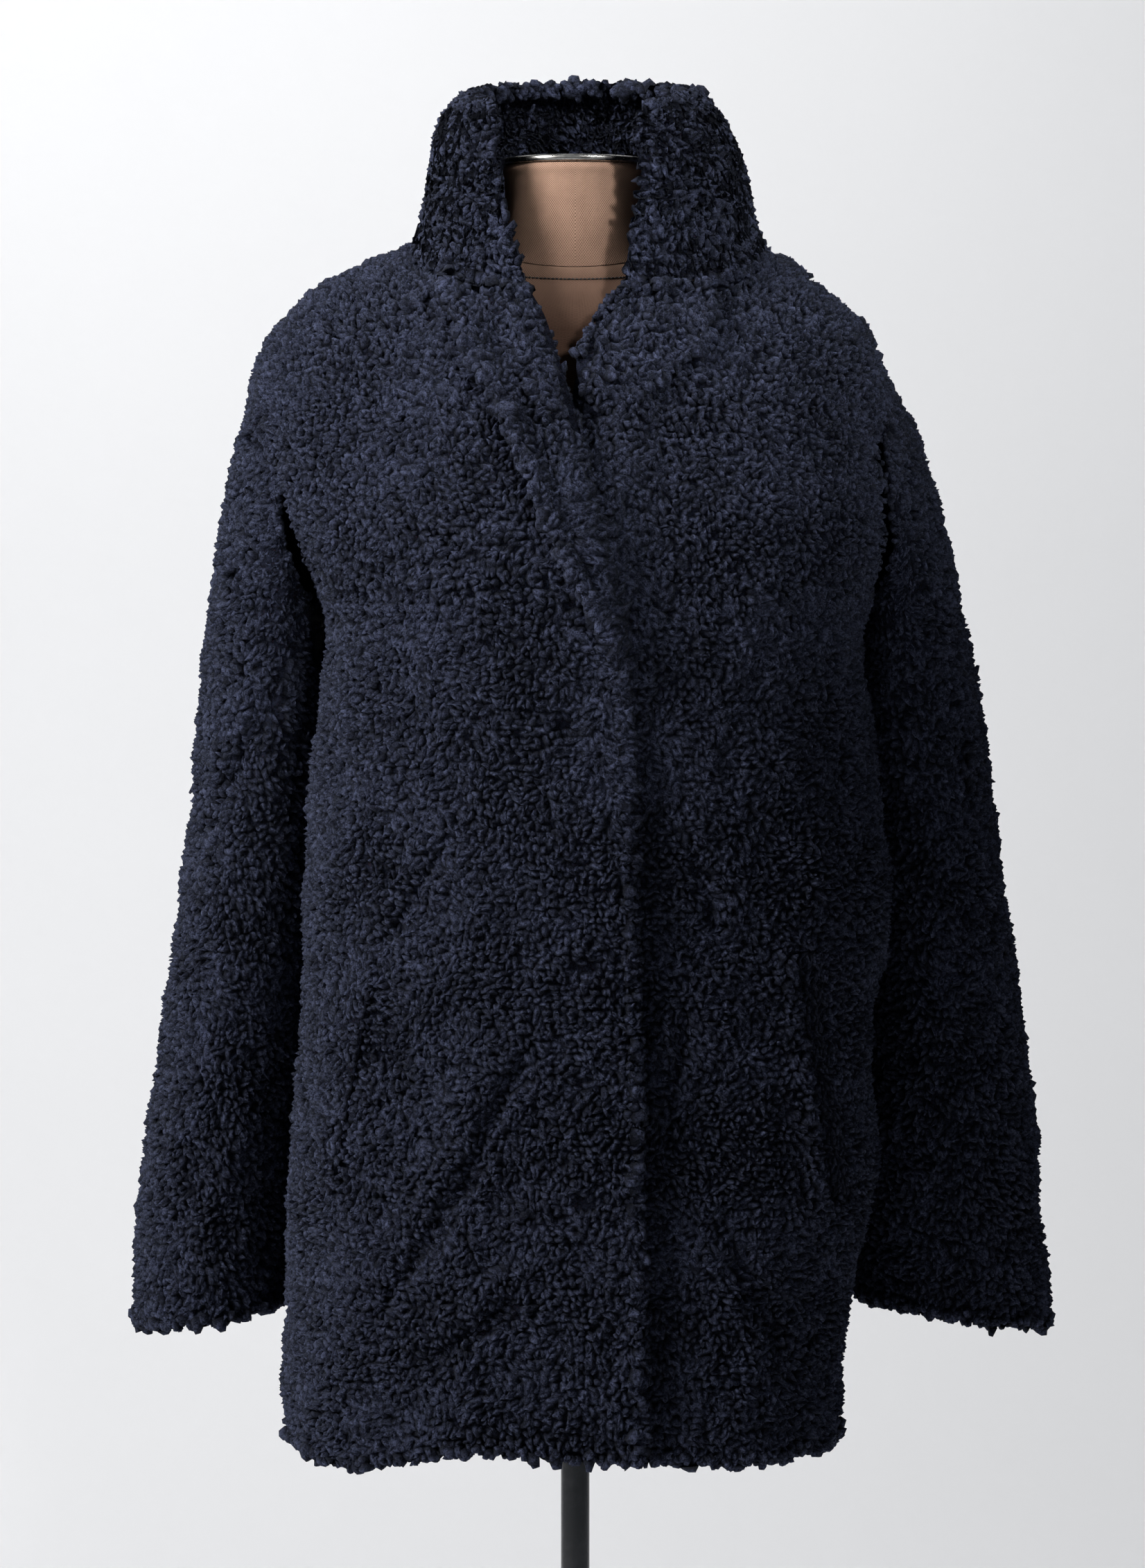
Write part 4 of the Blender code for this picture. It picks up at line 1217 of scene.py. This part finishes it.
# %% Backing shells
Shell = namedtuple("Shell", "columns rows top bottom closed")
SHELLS = {
    "front_right": Shell(36, 80, -0.0050, -0.0078, False),
    "front_left": Shell(36, 80, -0.0050, -0.0078, False),
    "back": Shell(50, 80, -0.0050, -0.0078, False),
    "sleeve_left": Shell(44, 70, -0.0052, -0.0078, True),
    "sleeve_right": Shell(44, 70, -0.0052, -0.0078, True),
    "collar": Shell(80, 22, -0.0054, -0.0066, False),
    "lapel_left": Shell(24, 24, -0.0045, -0.0078, False),
    "lapel_right": Shell(20, 50, -0.0045, -0.0078, False),
    "pocket_welt_left": Shell(8, 36, -0.0034, -0.0050, False),
    "pocket_welt_right": Shell(8, 36, -0.0022, -0.0044, False),
}
shells = {}
for name, plan in SHELLS.items():
    shares = np.linspace(0, 1, plan.columns, endpoint=not plan.closed)
    share, way = np.meshgrid(shares, np.linspace(0, 1, plan.rows))
    outer = FACES[name](share, way, plan.top)
    inner = FACES[name](share, way, plan.bottom)
    shells[name] = wall(name + "_cloth", outer, inner, backing, plan.closed)
    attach(shells[name], "root")
    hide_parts(name)
print("shell faces:", {name: len(made.data.polygons) for name, made in shells.items()})

# %% [markdown]
# ## One curl
#
# A curl of the pile is a short bent lock, rounded on top and rooted in the backing. Eleven points are
# enough: two ends and three ribs of three points. Along edges, where a curl is seen from the side, it
# gets ribs of four points. Thousands are made at once, each with its own length, bend, twist and lean.

# %% Curl maker
CurlShape = namedtuple("CurlShape", "place wide high turn")
LOCK = CurlShape(
    place=np.array((-0.66, 0.0, 0.66)),
    wide=np.array((0.90, 1.0, 0.86)),
    high=np.array((0.84, 1.0, 0.78)),
    turn=np.radians((-80.0, 0.0, 80.0)),
)
TUFT = CurlShape(
    place=np.array((-0.66, 0.0, 0.66)),
    wide=np.array((0.90, 1.0, 0.88)),
    high=np.array((0.88, 1.0, 0.82)),
    turn=np.radians((-82.0, -28.0, 28.0, 82.0)),
)
END_HIGH, END_BEND, BEND_MIDDLE = 0.30, 0.7, 0.3
Spots = namedtuple("Spots", "place up along long wide high bend twist lean shade")


def curl_faces(shape):
    """The triangles of one curl: a fan at each end and bands between the ribs."""
    ribs, across = len(shape.place), len(shape.turn)
    last = ribs * across + 1
    faces = []
    for k in range(across - 1):
        faces.append((0, 1 + k, 2 + k))
        far = 1 + across * (ribs - 1) + k
        faces.append((far, last, far + 1))
        for rib in range(ribs - 1):
            a = 1 + across * rib + k
            d = a + across
            faces.append((a, d, d + 1))
            faces.append((a, d + 1, a + 1))
    return np.array(faces)


def curl_mesh(spots, shape):
    """Points, triangles, stand and shade of all curls, from one row of values for each."""
    up, along = spots.up[:, None, None], spots.along[:, None, None]
    side = np.cross(spots.up, spots.along)[:, None, None]
    long, wide, high = (v[:, None, None] for v in (spots.long, spots.wide, spots.high))
    bend, twist, lean = (v[:, None, None] for v in (spots.bend, spots.twist, spots.lean))
    rib, turn = shape.place[None, :, None], shape.turn[None, None, :]
    rise = np.cos(turn) * shape.high[None, :, None]
    ahead = rib * long / 2 + lean * high * rise
    beside = bend * long * (rib**2 - BEND_MIDDLE) + twist * long * np.sin(math.pi * rib)
    beside = beside + np.sin(turn) * shape.wide[None, :, None] * wide / 2
    ribs = spots.place[:, None, None] + ahead[..., None] * along + beside[..., None] * side
    ribs = ribs + (rise * high)[..., None] * up
    ends = []
    for sign in (-1, 1):
        tip = spots.place + sign * spots.long[:, None] / 2 * spots.along
        tip = tip + (END_BEND * spots.bend * spots.long)[:, None] * side[:, 0, 0]
        ends.append(tip + (END_HIGH * spots.high)[:, None] * spots.up)
    count = len(spots.place)
    points = np.concatenate((ends[0][:, None], ribs.reshape(count, -1, 3), ends[1][:, None]), axis=1)
    faces = curl_faces(shape)[None] + points.shape[1] * np.arange(count)[:, None, None]
    stand = np.concatenate(((END_HIGH,), (rise + 0 * rib).ravel(), (END_HIGH,)))
    shade = np.repeat(spots.shade, points.shape[1])
    return points.reshape(-1, 3), faces.reshape(-1, 3), np.tile(stand, count), shade


print("triangles in a lock and in a tuft:", len(curl_faces(LOCK)), len(curl_faces(TUFT)))

# %% [markdown]
# ## Where the curls stand
#
# On the loom the pile stands in rows, but washing and wear mix it up. Spots are spaced evenly over
# the real surface, in staggered rows with a good deal of chance. Rows follow the longest way up the
# panel, and where the panel is shorter some spots are dropped, so the pile is equally thick all over.

# %% Spreading spots
FINE_STEPS = 220
JITTER, ROW_START, ROW_SHIFT = 0.36, 0.25, 0.5
TRIAL_GAP = 0.0055


def spread(face, across_gap, along_gap, seed):
    """Share and way of spots, evenly spaced over a face."""
    chance = np.random.default_rng(seed)
    fine = np.linspace(0, 1, FINE_STEPS)
    share, way = np.meshgrid(fine, fine)
    climbs = np.linalg.norm(np.diff(face(share, way), axis=0), axis=-1)
    longest = climbs.max(axis=1)
    climb = np.concatenate(([0], np.cumsum(longest)))
    rows = max(1, round(climb[-1] / along_gap))
    shares, ways = [], []
    for row in range(rows):
        row_way = np.interp((row + 0.5) / rows * climb[-1], climb, fine)
        line = face(fine, np.full(FINE_STEPS, row_way))
        run = lengths_along(line)
        count = max(1, round(run[-1] / across_gap))
        spot = np.arange(count) + ROW_START + ROW_SHIFT * (row % 2)
        spot = spot + JITTER * chance.uniform(-1, 1, count)
        spot_share = np.interp(spot / count * run[-1], run, fine)
        level = min(int(row_way * (FINE_STEPS - 1)), FINE_STEPS - 2)
        keep = chance.random(count) < np.interp(spot_share, fine, climbs[level]) / longest[level]
        up_by = JITTER * chance.uniform(-1, 1, count) * climb[-1] / rows / max(longest[level], TINY)
        spot_way = np.clip(row_way + up_by / (FINE_STEPS - 1), 0, 1)
        shares.append(spot_share[keep])
        ways.append(spot_way[keep])
    return np.concatenate(shares), np.concatenate(ways)


trial = spread(PLAIN_FACES["lapel_left"], TRIAL_GAP, TRIAL_GAP, seed=1)
print("spots on one lapel at 5.5 mm:", len(trial[0]))

# %% [markdown]
# ## Growing the pile
#
# The curls differ over the coat. On the sleeves and collar they hang in upright chains of round
# locks. On the fronts they turn in all directions, and along the seams and where the arm rubs they
# are felted, finer and flatter. The values for each panel are set down in one table.

# %% Pile table
Pile = namedtuple("Pile", "across along long wide high chain seed root")
PILES = {
    "front_right": Pile(0.0041, 0.0042, 0.0066, 0.0056, 0.0062, 0.45, 21, -0.0058),
    "front_left": Pile(0.0041, 0.0042, 0.0066, 0.0056, 0.0062, 0.45, 22, -0.0058),
    "back": Pile(0.0061, 0.0065, 0.0104, 0.0074, 0.0062, 0.45, 23, -0.0056),
    "sleeve_left": Pile(0.0044, 0.0047, 0.0068, 0.0053, 0.0062, 0.75, 24, -0.0060),
    "sleeve_right": Pile(0.0044, 0.0047, 0.0068, 0.0053, 0.0062, 0.75, 25, -0.0060),
    "collar": Pile(0.0048, 0.0050, 0.0074, 0.0058, 0.0066, 0.70, 26, -0.0058),
    "lapel_left": Pile(0.0044, 0.0046, 0.0074, 0.0053, 0.0062, 0.2, 27, -0.0054),
    "lapel_right": Pile(0.0044, 0.0046, 0.0074, 0.0053, 0.0062, 0.3, 28, -0.0054),
    "pocket_welt_left": Pile(0.0036, 0.0050, 0.0084, 0.0030, 0.0034, 0.95, 29, -0.0036),
    "pocket_welt_right": Pile(0.0038, 0.0044, 0.0070, 0.0048, 0.0038, 0.4, 30, -0.0024),
}
swirl_field = swells(seed=31, length=0.045)
clump_field = swells(seed=32, length=0.026)
size_field = swells(seed=33, length=0.090)

Felt = namedtuple("Felt", "x z half_wide half_high amount")
FELTS = (
    Felt(-0.158, 1.250, 0.028, 0.120, 0.75),
    Felt(0.165, 1.250, 0.026, 0.110, 0.60),
    Felt(-0.150, 0.960, 0.040, 0.140, 0.40),
    Felt(0.020, 1.060, 0.030, 0.080, 0.30),
    Felt(-0.020, 0.960, 0.040, 0.060, 0.35),
    Felt(0.120, 1.010, 0.050, 0.080, 0.35),
    Felt(-0.010, 0.800, 0.050, 0.050, 0.30),
    Felt(0.178, 0.900, 0.024, 0.120, 0.80),
    Felt(0.132, 0.890, 0.026, 0.110, 0.70),
    Felt(-0.175, 0.880, 0.022, 0.120, 0.60),
)


FELT_BACK_Y = 0.03
TUFT_LOW_Z, TUFT_HIGH_Z, TUFT_FADE = 1.01, 1.30, 0.05
TUFT_BACK, TUFT_REACH = 0.006, 0.011
READ_STEP = 0.004
SWIRL_TURN, LEAST_TURN, LOOSE_TURN, TUFT_TURN = 1.9, 0.35, 0.5, 0.6
SIZE_SWELL, SIZE_CHANCE, LONG_CHANCE = 0.12, 0.16, 0.18
WORN_SIZE, WORN_HIGH = 0.25, 0.42
TUFT_SIZE, TUFT_LONG, TUFT_HIGH = 0.25, 0.5, 0.28
HIGH_CLUMP, HIGH_CHANCE, HIGH_LIMITS = 0.15, 0.12, (0.35, 1.5)
UP_CHANCE, BEND_CHANCE, TWIST_CHANCE = 0.13, 0.20, 0.06
LEAN_CHANCE, LEAN_CHAIN = 0.35, 0.25
SHADE_MIDDLE, SHADE_CHANCE = 0.35, 0.3


def felted(points):
    """How worn down the pile is on the fronts, from 0 to 1."""
    worn = np.zeros(len(points))
    for felt in FELTS:
        worn = np.maximum(worn, felt.amount * patch(points, felt))
    return worn * (points[:, 1] < FELT_BACK_Y)


def tufted(points):
    """How loose the pile is along the over front's edge, from 0 to 1."""
    x, y, z = points.T
    edge = EDGE_AT["over"](z)
    near = bell(edge - x, TUFT_REACH, TUFT_BACK) * (x < edge) * (y < 0)
    return near * ease((z - TUFT_LOW_Z) / TUFT_FADE) * ease((TUFT_HIGH_Z - z) / TUFT_FADE)


def climb_at(face, share, way):
    """The way up a face, from a little below to a little above."""
    return face(share, np.minimum(way + READ_STEP, 1)) - face(share, np.maximum(way - READ_STEP, 0))


def square_to(up, vectors):
    """Unit vectors along the part of each vector that is square to up."""
    return unit(vectors - (vectors * up).sum(-1, keepdims=True) * up)


def grow(face, plain_face, pile, seed_step=0):
    """Curl values over one face; the spots are spaced on the face without its creases."""
    chance = np.random.default_rng(pile.seed + seed_step)
    share, way = spread(plain_face, pile.across, pile.along, pile.seed + seed_step)

    def by_chance():
        return chance.normal(size=len(share))

    plain = face(share, way)
    up = face_up(face, share, way)
    climb = square_to(up, climb_at(face, share, way))
    side = np.cross(up, climb)
    loose, tuft, worn = 1 - pile.chain, tufted(plain), felted(plain)
    turn = loose * SWIRL_TURN * swirl_field(plain) + (LEAST_TURN + LOOSE_TURN * loose) * by_chance()
    turn = (1 - tuft) * turn + tuft * (math.pi / 2 + TUFT_TURN * by_chance())
    along = np.cos(turn)[:, None] * climb + np.sin(turn)[:, None] * side
    size = (1 + SIZE_SWELL * size_field(plain)) * np.exp(SIZE_CHANCE * by_chance())
    size = size * (1 - WORN_SIZE * worn) * (1 + TUFT_SIZE * tuft)
    tall = 1 + HIGH_CLUMP * clump_field(plain) + HIGH_CHANCE * by_chance()
    tall = tall - WORN_HIGH * worn + TUFT_HIGH * tuft
    return Spots(
        place=plain + pile.root * up,
        up=unit(up + UP_CHANCE * chance.normal(size=up.shape)),
        along=along,
        long=pile.long * size * (1 + TUFT_LONG * tuft) * np.exp(LONG_CHANCE * by_chance()),
        wide=pile.wide * size,
        high=pile.high * np.clip(tall, *HIGH_LIMITS),
        bend=BEND_CHANCE * by_chance(),
        twist=TWIST_CHANCE * by_chance(),
        lean=LEAN_CHANCE * by_chance() - LEAN_CHAIN * pile.chain,
        shade=np.clip(SHADE_MIDDLE + SHADE_CHANCE * by_chance(), 0, 1),
    )


def chosen(spots, keep):
    return Spots(*(values[keep] for values in spots))


def joined(*groups):
    return Spots(*(np.concatenate(values) for values in zip(*groups)))


print("felted places:", len(FELTS))

# %% [markdown]
# ## Edges
#
# Along the hem, cuffs, collar top and front edge the cloth turns, and its curls fan out. They are
# bigger there and give the coat its ragged outline. Spots run along an edge, and each stands at its
# own angle between straight out of the face and straight out of the edge.

# %% Edge curls
Edge = namedtuple("Edge", "share way seed gap rows size inset fan")
EDGE_LONG, EDGE_WIDE, EDGE_HIGH = 0.0076, 0.0058, 0.0060
EDGE_JITTER, JITTER_LIMIT, EDGE_BARE, HEM_ROWS = 0.0018, 1.5, -1.1, 5
FAN_LEAST, EDGE_ROOT, EDGE_SLANT = 10, 0.0008, 0.8
IN_BY_WAY, IN_BY_SHARE = 0.01, 0.02
EDGE_SIZE_CHANCE, EDGE_UP_CHANCE, EDGE_LEAN_CHANCE = 0.24, 0.12, 0.3
EDGE_HIGH_CHANCE, EDGE_HIGH_LIMITS = 0.15, (0.7, 1.25)


def edge_curls(face, edge, thick):
    """Curls fanned round one edge; edge.share and edge.way are numbers or None where it runs."""
    chance = np.random.default_rng(edge.seed)
    fine = np.linspace(0, 1, FINE_STEPS)

    def read(run):
        share = run if edge.share is None else np.full(len(run), float(edge.share))
        way = run if edge.way is None else np.full(len(run), float(edge.way))
        return share, way

    def by_chance():
        return chance.normal(size=count)

    length = lengths_along(face(*read(fine)))
    count = max(2, round(length[-1] / edge.gap)) * edge.rows
    run = np.interp(np.sort(chance.uniform(0, length[-1], count)), length, fine)
    share, way = read(run)
    plain = face(share, way)
    up = face_up(face, share, way)
    if edge.share is None:
        inside = face(share, np.abs(way - IN_BY_WAY)) - plain
        before, after = np.maximum(share - READ_STEP, 0), np.minimum(share + READ_STEP, 1)
        tangent = face(after, way) - face(before, way)
    else:
        inside = face(np.abs(share - IN_BY_SHARE), way) - plain
        tangent = climb_at(face, share, way)
    outside = -square_to(up, inside)
    tangent = unit(tangent)
    turn = np.radians(chance.uniform(FAN_LEAST, edge.fan, count))
    fan = unit(np.cos(turn)[:, None] * up + np.sin(turn)[:, None] * outside)
    along = unit(np.cross(tangent, fan) + EDGE_SLANT * chance.normal(size=(count, 1)) * tangent)
    along = square_to(fan, along)
    size = edge.size * np.exp(EDGE_SIZE_CHANCE * by_chance())
    jitter = EDGE_JITTER * np.clip(chance.normal(size=(count, 1)), -JITTER_LIMIT, JITTER_LIMIT)
    middle = plain - thick / 2 * up - (edge.inset + jitter) * outside
    spots = Spots(
        place=middle + EDGE_ROOT * fan,
        up=unit(fan + EDGE_UP_CHANCE * chance.normal(size=fan.shape)),
        along=along,
        long=EDGE_LONG * size,
        wide=EDGE_WIDE * size,
        high=EDGE_HIGH * size * np.clip(1 + EDGE_HIGH_CHANCE * by_chance(), *EDGE_HIGH_LIMITS),
        bend=BEND_CHANCE * by_chance(),
        twist=TWIST_CHANCE * by_chance(),
        lean=EDGE_LEAN_CHANCE * by_chance(),
        shade=np.clip(SHADE_MIDDLE + SHADE_CHANCE * by_chance(), 0, 1),
    )
    whole = edge.way == 0.0 and edge.rows == HEM_ROWS
    return spots if whole else chosen(spots, clump_field(plain) > EDGE_BARE)


def hem_edge(seed, gap=0.0042):
    """A hem or cuff, with a full fringe."""
    return Edge(None, 0.0, seed, gap, HEM_ROWS, size=0.82, inset=0.0035, fan=150)


def seam_edge(share, way, seed, gap=0.0050):
    """A seam, with one row of small curls over it."""
    return Edge(share, way, seed, gap, rows=1, size=0.55, inset=0.0, fan=50)


EDGES = {
    "front_right": (
        hem_edge(41),
        Edge(1.0, None, 42, 0.0044, 4, 0.86, 0.008, 150),
        seam_edge(0.0, None, 60),
    ),
    "front_left": (hem_edge(43), seam_edge(1.0, None, 61)),
    "back": (hem_edge(44, 0.0046), seam_edge(0.0, None, 62), seam_edge(1.0, None, 63)),
    "sleeve_left": (hem_edge(45), seam_edge(None, 1.0, 57, 0.0044)),
    "sleeve_right": (hem_edge(46), seam_edge(None, 1.0, 58, 0.0044)),
    "collar": (
        Edge(None, 1.0, 47, 0.0042, 5, 1.0, 0.005, 170),
        Edge(0.0, None, 48, 0.0042, 5, 0.82, 0.012, 170),
        Edge(1.0, None, 49, 0.0042, 5, 0.82, 0.012, 170),
        Edge(None, 0.0, 59, 0.0046, HEM_ROWS, 0.95, -0.001, 130),
    ),
    "lapel_left": (
        Edge(1.0, None, 50, 0.0044, 4, 1.0, 0.003, 150),
        Edge(0.0, None, 51, 0.0036, 4, 0.66, 0.002, 130),
        Edge(None, 1.0, 52, 0.0044, 3, 1.0, 0.001, 130),
        Edge(None, 0.0, 53, 0.0044, 3, 0.9, 0.003, 150),
    ),
    "lapel_right": (
        Edge(1.0, None, 54, 0.0040, 4, 0.72, 0.011, 140),
        Edge(0.0, None, 55, 0.0046, 4, 1.05, 0.002, 130),
        Edge(None, 1.0, 56, 0.0044, 3, 1.0, 0.001, 130),
    ),
}
print("edges with fanned curls:", sum(len(edges) for edges in EDGES.values()))

# %% [markdown]
# ## Bare places
#
# Three press studs are sewn through the over front, and the stitches pull the pile into small pits.
# The pocket slit and the lapped part of the under front carry no curls either. Curls that would stand
# there are left out or made low.

# %% Pits, slits and the lapped part
LAPPED_MARGIN, LAPPED_TOP_Z = 0.016, 1.30
# The left welt's curls are darkened as painted shade of the pocket slit.
SLIT_HALF, SLIT_PAINTED_SHADE = 0.0050, 0.6
LAPEL_OVER = {"front_left": "lapel_left", "front_right": "lapel_right"}
LAPEL_MARGIN = 0.006
V_BOTTOM_Z, V_MARGIN, V_FRINGE_X = 1.315, 0.004, -0.06
COLLAR_Y, COLLAR_LOW_Z, COLLAR_TALL = 0.01, 1.43, 0.115
COLLAR_END_BARE, COLLAR_SEWN_RISE, COLLAR_SEED_STEP = 3, 0.25, 100
PIT_LOWERS, PIT_BARE = 0.7, 0.48
LINE_STEPS = 60


def under_lapel(points, lapel):
    """Whether points on a front lie well under its lapel."""
    share, way = np.meshgrid((0.0, 1.0), np.linspace(0, 1, LINE_STEPS), indexing="ij")
    left, right = PLAIN_FACES[lapel](share, way)
    x, z = points[:, 0], points[:, 2]
    low = np.interp(z, left[:, 2], left[:, 0]) + LAPEL_MARGIN
    high = np.interp(z, right[:, 2], right[:, 0]) - LAPEL_MARGIN
    return (x > low) & (x < high) & (z > left[0, 2] + LAPEL_MARGIN) & (z < left[-1, 2])


def in_slit(points, welt):
    """Whether points lie along the front edge of a pocket welt."""
    line = PLAIN_FACES[welt](np.zeros(LINE_STEPS), np.linspace(0, 1, LINE_STEPS))
    x, y, z = points.T
    slit_x = np.interp(z, line[:, 2], line[:, 0])
    level = (z > WELT_BOTTOM_Z) & (z < WELT_TOP_Z)
    return level & (np.abs(x - slit_x) < SLIT_HALF) & (y < 0)


def pile_of(name):
    """The curls of one panel, without those on its bare places."""
    spots = grow(FACES[name], PLAIN_FACES[name], PILES[name])
    if name == "collar":
        inside = grow(collar_inside, PLAIN_FACES[name], PILES[name], COLLAR_SEED_STEP)
        spots = joined(spots, inside)
        turned = np.degrees(np.arctan2(spots.place[:, 0], COLLAR_Y - spots.place[:, 1]))
        rise = np.clip((spots.place[:, 2] - COLLAR_LOW_Z) / COLLAR_TALL, 0, 1)
        left = turned > COLLAR_AT["end_left"](rise) + COLLAR_END_BARE
        right = turned < -COLLAR_AT["end_right"](rise) - COLLAR_END_BARE
        spots = chosen(spots, left | right | (rise < COLLAR_SEWN_RISE))
    x, z = spots.place[:, 0], spots.place[:, 2]
    if name == "front_right":
        deep = pitted(spots.place)
        spots = chosen(spots._replace(high=spots.high * (1 - PIT_LOWERS * deep)), deep < PIT_BARE)
    if name == "front_left":
        free = (x > EDGE_AT["over"](z) - LAPPED_MARGIN) | (z > LAPPED_TOP_Z)
        beside_v = (z < V_BOTTOM_Z) | (x > EDGE_AT["under"](z) + V_MARGIN)
        spots = chosen(spots, free & beside_v & ~in_slit(spots.place, "pocket_welt_left"))
    if name == "lapel_left":
        fold = np.interp(z, [row.left_z for row in LAPEL_LEFT], [row.left_x for row in LAPEL_LEFT])
        spots = chosen(spots, x > fold + V_MARGIN)
    if name == "lapel_right":
        fold = np.interp(z, [row.right_z for row in LAPEL_RIGHT], [row.right_x for row in LAPEL_RIGHT])
        spots = chosen(spots, (z < V_BOTTOM_Z) | (x < fold - V_MARGIN))
    # Painted shade: the curls of the left welt are made darker, standing in for the slit's shadow.
    if name == "pocket_welt_left":
        spots = spots._replace(shade=np.clip(spots.shade + SLIT_PAINTED_SHADE, 0, 1))
    if name in LAPEL_OVER:
        spots = chosen(spots, ~under_lapel(spots.place, LAPEL_OVER[name]))
    return spots


def fringe_of(name):
    """The curls along the edges of one panel."""
    thick = COLLAR_CLOTH if name == "collar" else CLOTH
    spots = joined(*(edge_curls(FACES[name], edge, thick) for edge in EDGES[name]))
    if name == "front_right":
        spots = chosen(spots, (spots.place[:, 2] < V_BOTTOM_Z) | (spots.place[:, 0] < V_FRINGE_X))
    return spots


def carry(made, label, values):
    """Stores one number for each point of a piece."""
    values = np.asarray(values, np.float32)
    made.data.attributes.new(label, "FLOAT", "POINT").data.foreach_set("value", values)


pile_triangles = 0
for name in PILES:
    crowds = [curl_mesh(pile_of(name), LOCK)]
    if name in EDGES:
        crowds.append(curl_mesh(fringe_of(name), TUFT))
    starts = np.cumsum([0] + [len(crowd[0]) for crowd in crowds[:-1]])
    points = np.concatenate([crowd[0] for crowd in crowds])
    faces = np.concatenate([crowd[1] + start for crowd, start in zip(crowds, starts)])
    made = piece_of(name + "_pile", points, faces, curl_pile)
    carry(made, "stand", np.concatenate([crowd[2] for crowd in crowds]))
    carry(made, "shade", np.concatenate([crowd[3] for crowd in crowds]))
    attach(made, "root")
    pile_triangles += len(faces)
    print(name, "pile triangles:", len(faces))
print("pile triangles in all:", pile_triangles)

# %% [markdown]
# ## Stitches
#
# Two kinds of stitches show. The studs are sewn on with glossy black thread, a few turns in each pit,
# and the neck cover is sewn to the body of the form with a row of short dark stitches. Each stitch is
# a short tube that rises out of the cloth and goes back in.

# %% Stitched thread
TUBE_SIDES, TUBE_RINGS = 6, 7
TUBE_POWER, TUBE_TIP = 6, 0.02


def stitch(start, end, up, rise, radius):
    """Points of one arched tube from start to end."""
    t = np.linspace(0, 1, TUBE_RINGS)
    middle = start + (end - start) * t[:, None] + up * (rise * np.sin(math.pi * t))[:, None]
    ahead = unit(np.gradient(middle, axis=0))
    side = unit(np.cross(ahead, up))
    top = np.cross(side, ahead)
    turn = np.linspace(0, 2 * math.pi, TUBE_SIDES, endpoint=False)
    thick = radius * np.sqrt(np.maximum(1 - (2 * t - 1) ** TUBE_POWER, TUBE_TIP))[:, None, None]
    ring = np.cos(turn)[:, None] * side[:, None] + np.sin(turn)[:, None] * top[:, None]
    return middle[:, None] + thick * ring


def sewn(name, stitches):
    """One piece from many stitches."""
    points = np.concatenate([made.reshape(-1, 3) for made in stitches])
    step = TUBE_SIDES * TUBE_RINGS
    quads = [grid_faces(TUBE_RINGS, TUBE_SIDES, step * i, closed=True) for i in range(len(stitches))]
    made = piece_of(name, points, np.concatenate(quads), thread)
    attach(made, "root")
    return made


STITCH_PATTERN = (
    (-0.0046, 0.0022, 0.0040, 0.0026),
    (-0.0052, 0.0010, 0.0046, 0.0012),
    (-0.0048, -0.0004, 0.0052, -0.0002),
    (-0.0040, -0.0016, 0.0048, -0.0014),
    (-0.0034, -0.0026, 0.0036, -0.0028),
    (-0.0028, -0.0024, 0.0030, 0.0024),
    (-0.0030, 0.0024, 0.0024, -0.0026),
)
STITCH_RISE, STITCH_RADIUS = 0.0008, 0.00058
for label, pit in zip(("top", "middle", "bottom"), PITS):
    theta, z = place_on_front(np.array(pit.x), np.array(pit.z))
    way = (z - HEM_Z) / (NECKLINE_Z - HEM_Z)
    share = (theta - right_side(z)) / (over_edge(z) - right_side(z))
    floor = FACES["front_right"](share, way, PILES["front_right"].root)
    up = face_up(FACES["front_right"], share, way)
    turns = []
    for x1, z1, x2, z2 in STITCH_PATTERN:
        start, end = floor + np.array((x1, 0, z1)), floor + np.array((x2, 0, z2))
        turns.append(stitch(start, end, up, STITCH_RISE, STITCH_RADIUS))
    sewn("stud_stitches_" + label, turns)

SEAM_STITCH, SEAM_STEP, SEAM_RADIUS, SEAM_RISE = 0.0022, 0.0026, 0.00055, 0.0005
SEAM_ROW_Z = 1.4306
seam_ring = oval_rings(FORM, np.array((SEAM_ROW_Z,)))[0]
seam_ring = np.concatenate((seam_ring, seam_ring[:1]))
seam_run = lengths_along(seam_ring)
seam_middle = seam_ring[:-1].mean(axis=0)
seam = []
for start_at in np.arange(0, seam_run[-1] - SEAM_STITCH, SEAM_STEP):
    ends = [
        np.array([np.interp(at, seam_run, seam_ring[:, k]) for k in range(3)])
        for at in (start_at, start_at + SEAM_STITCH)
    ]
    out = unit((ends[0] - seam_middle) * np.array((1, 1, 0)))
    seam.append(stitch(ends[0], ends[1], out, SEAM_RISE, SEAM_RADIUS))
sewn("neck_seam", seam)
print("stitches in the neck seam:", len(seam))

# %% [markdown]
# ## Studs
#
# The press studs sit between the fronts, out of sight, and keep the shape they have in the frame.
# They only need their finish: black enamel on metal.

# %% Stud finish
for name in ("press_stud_top", "press_stud_middle", "press_stud_bottom"):
    stud_mesh = cad_nodes[name].data
    stud_mesh.materials.clear()
    stud_mesh.materials.append(enamel)
print("studs finished")

# %% [markdown]
# ## The cut of each piece
#
# The size each panel of cloth was cut to is worked out and printed. The sizes are those of the panel
# laid flat: its widest breadth, the length down its middle and its area, as none is a true rectangle.

# %% Sheets
def flat_area(made):
    """Half the surface of a closed shell, in square metres."""
    made.data.calc_loop_triangles()
    return sum(triangle.area for triangle in made.data.loop_triangles) / 2


for name, made in shells.items():
    face = FACES[name]
    fine = np.linspace(0, 1, FINE_STEPS)
    share, way = np.meshgrid(fine, fine)
    grid = face(share, way)
    widths = np.linalg.norm(np.diff(grid, axis=1), axis=-1).sum(axis=1)
    lengths = np.linalg.norm(np.diff(grid, axis=0), axis=-1).sum(axis=0)
    width, length, area = widths.max(), np.median(lengths), flat_area(made)
    min(area, width * length)
    print(name, "flat size:", round(float(width), 3), round(float(length), 3), "area:", round(area, 4))
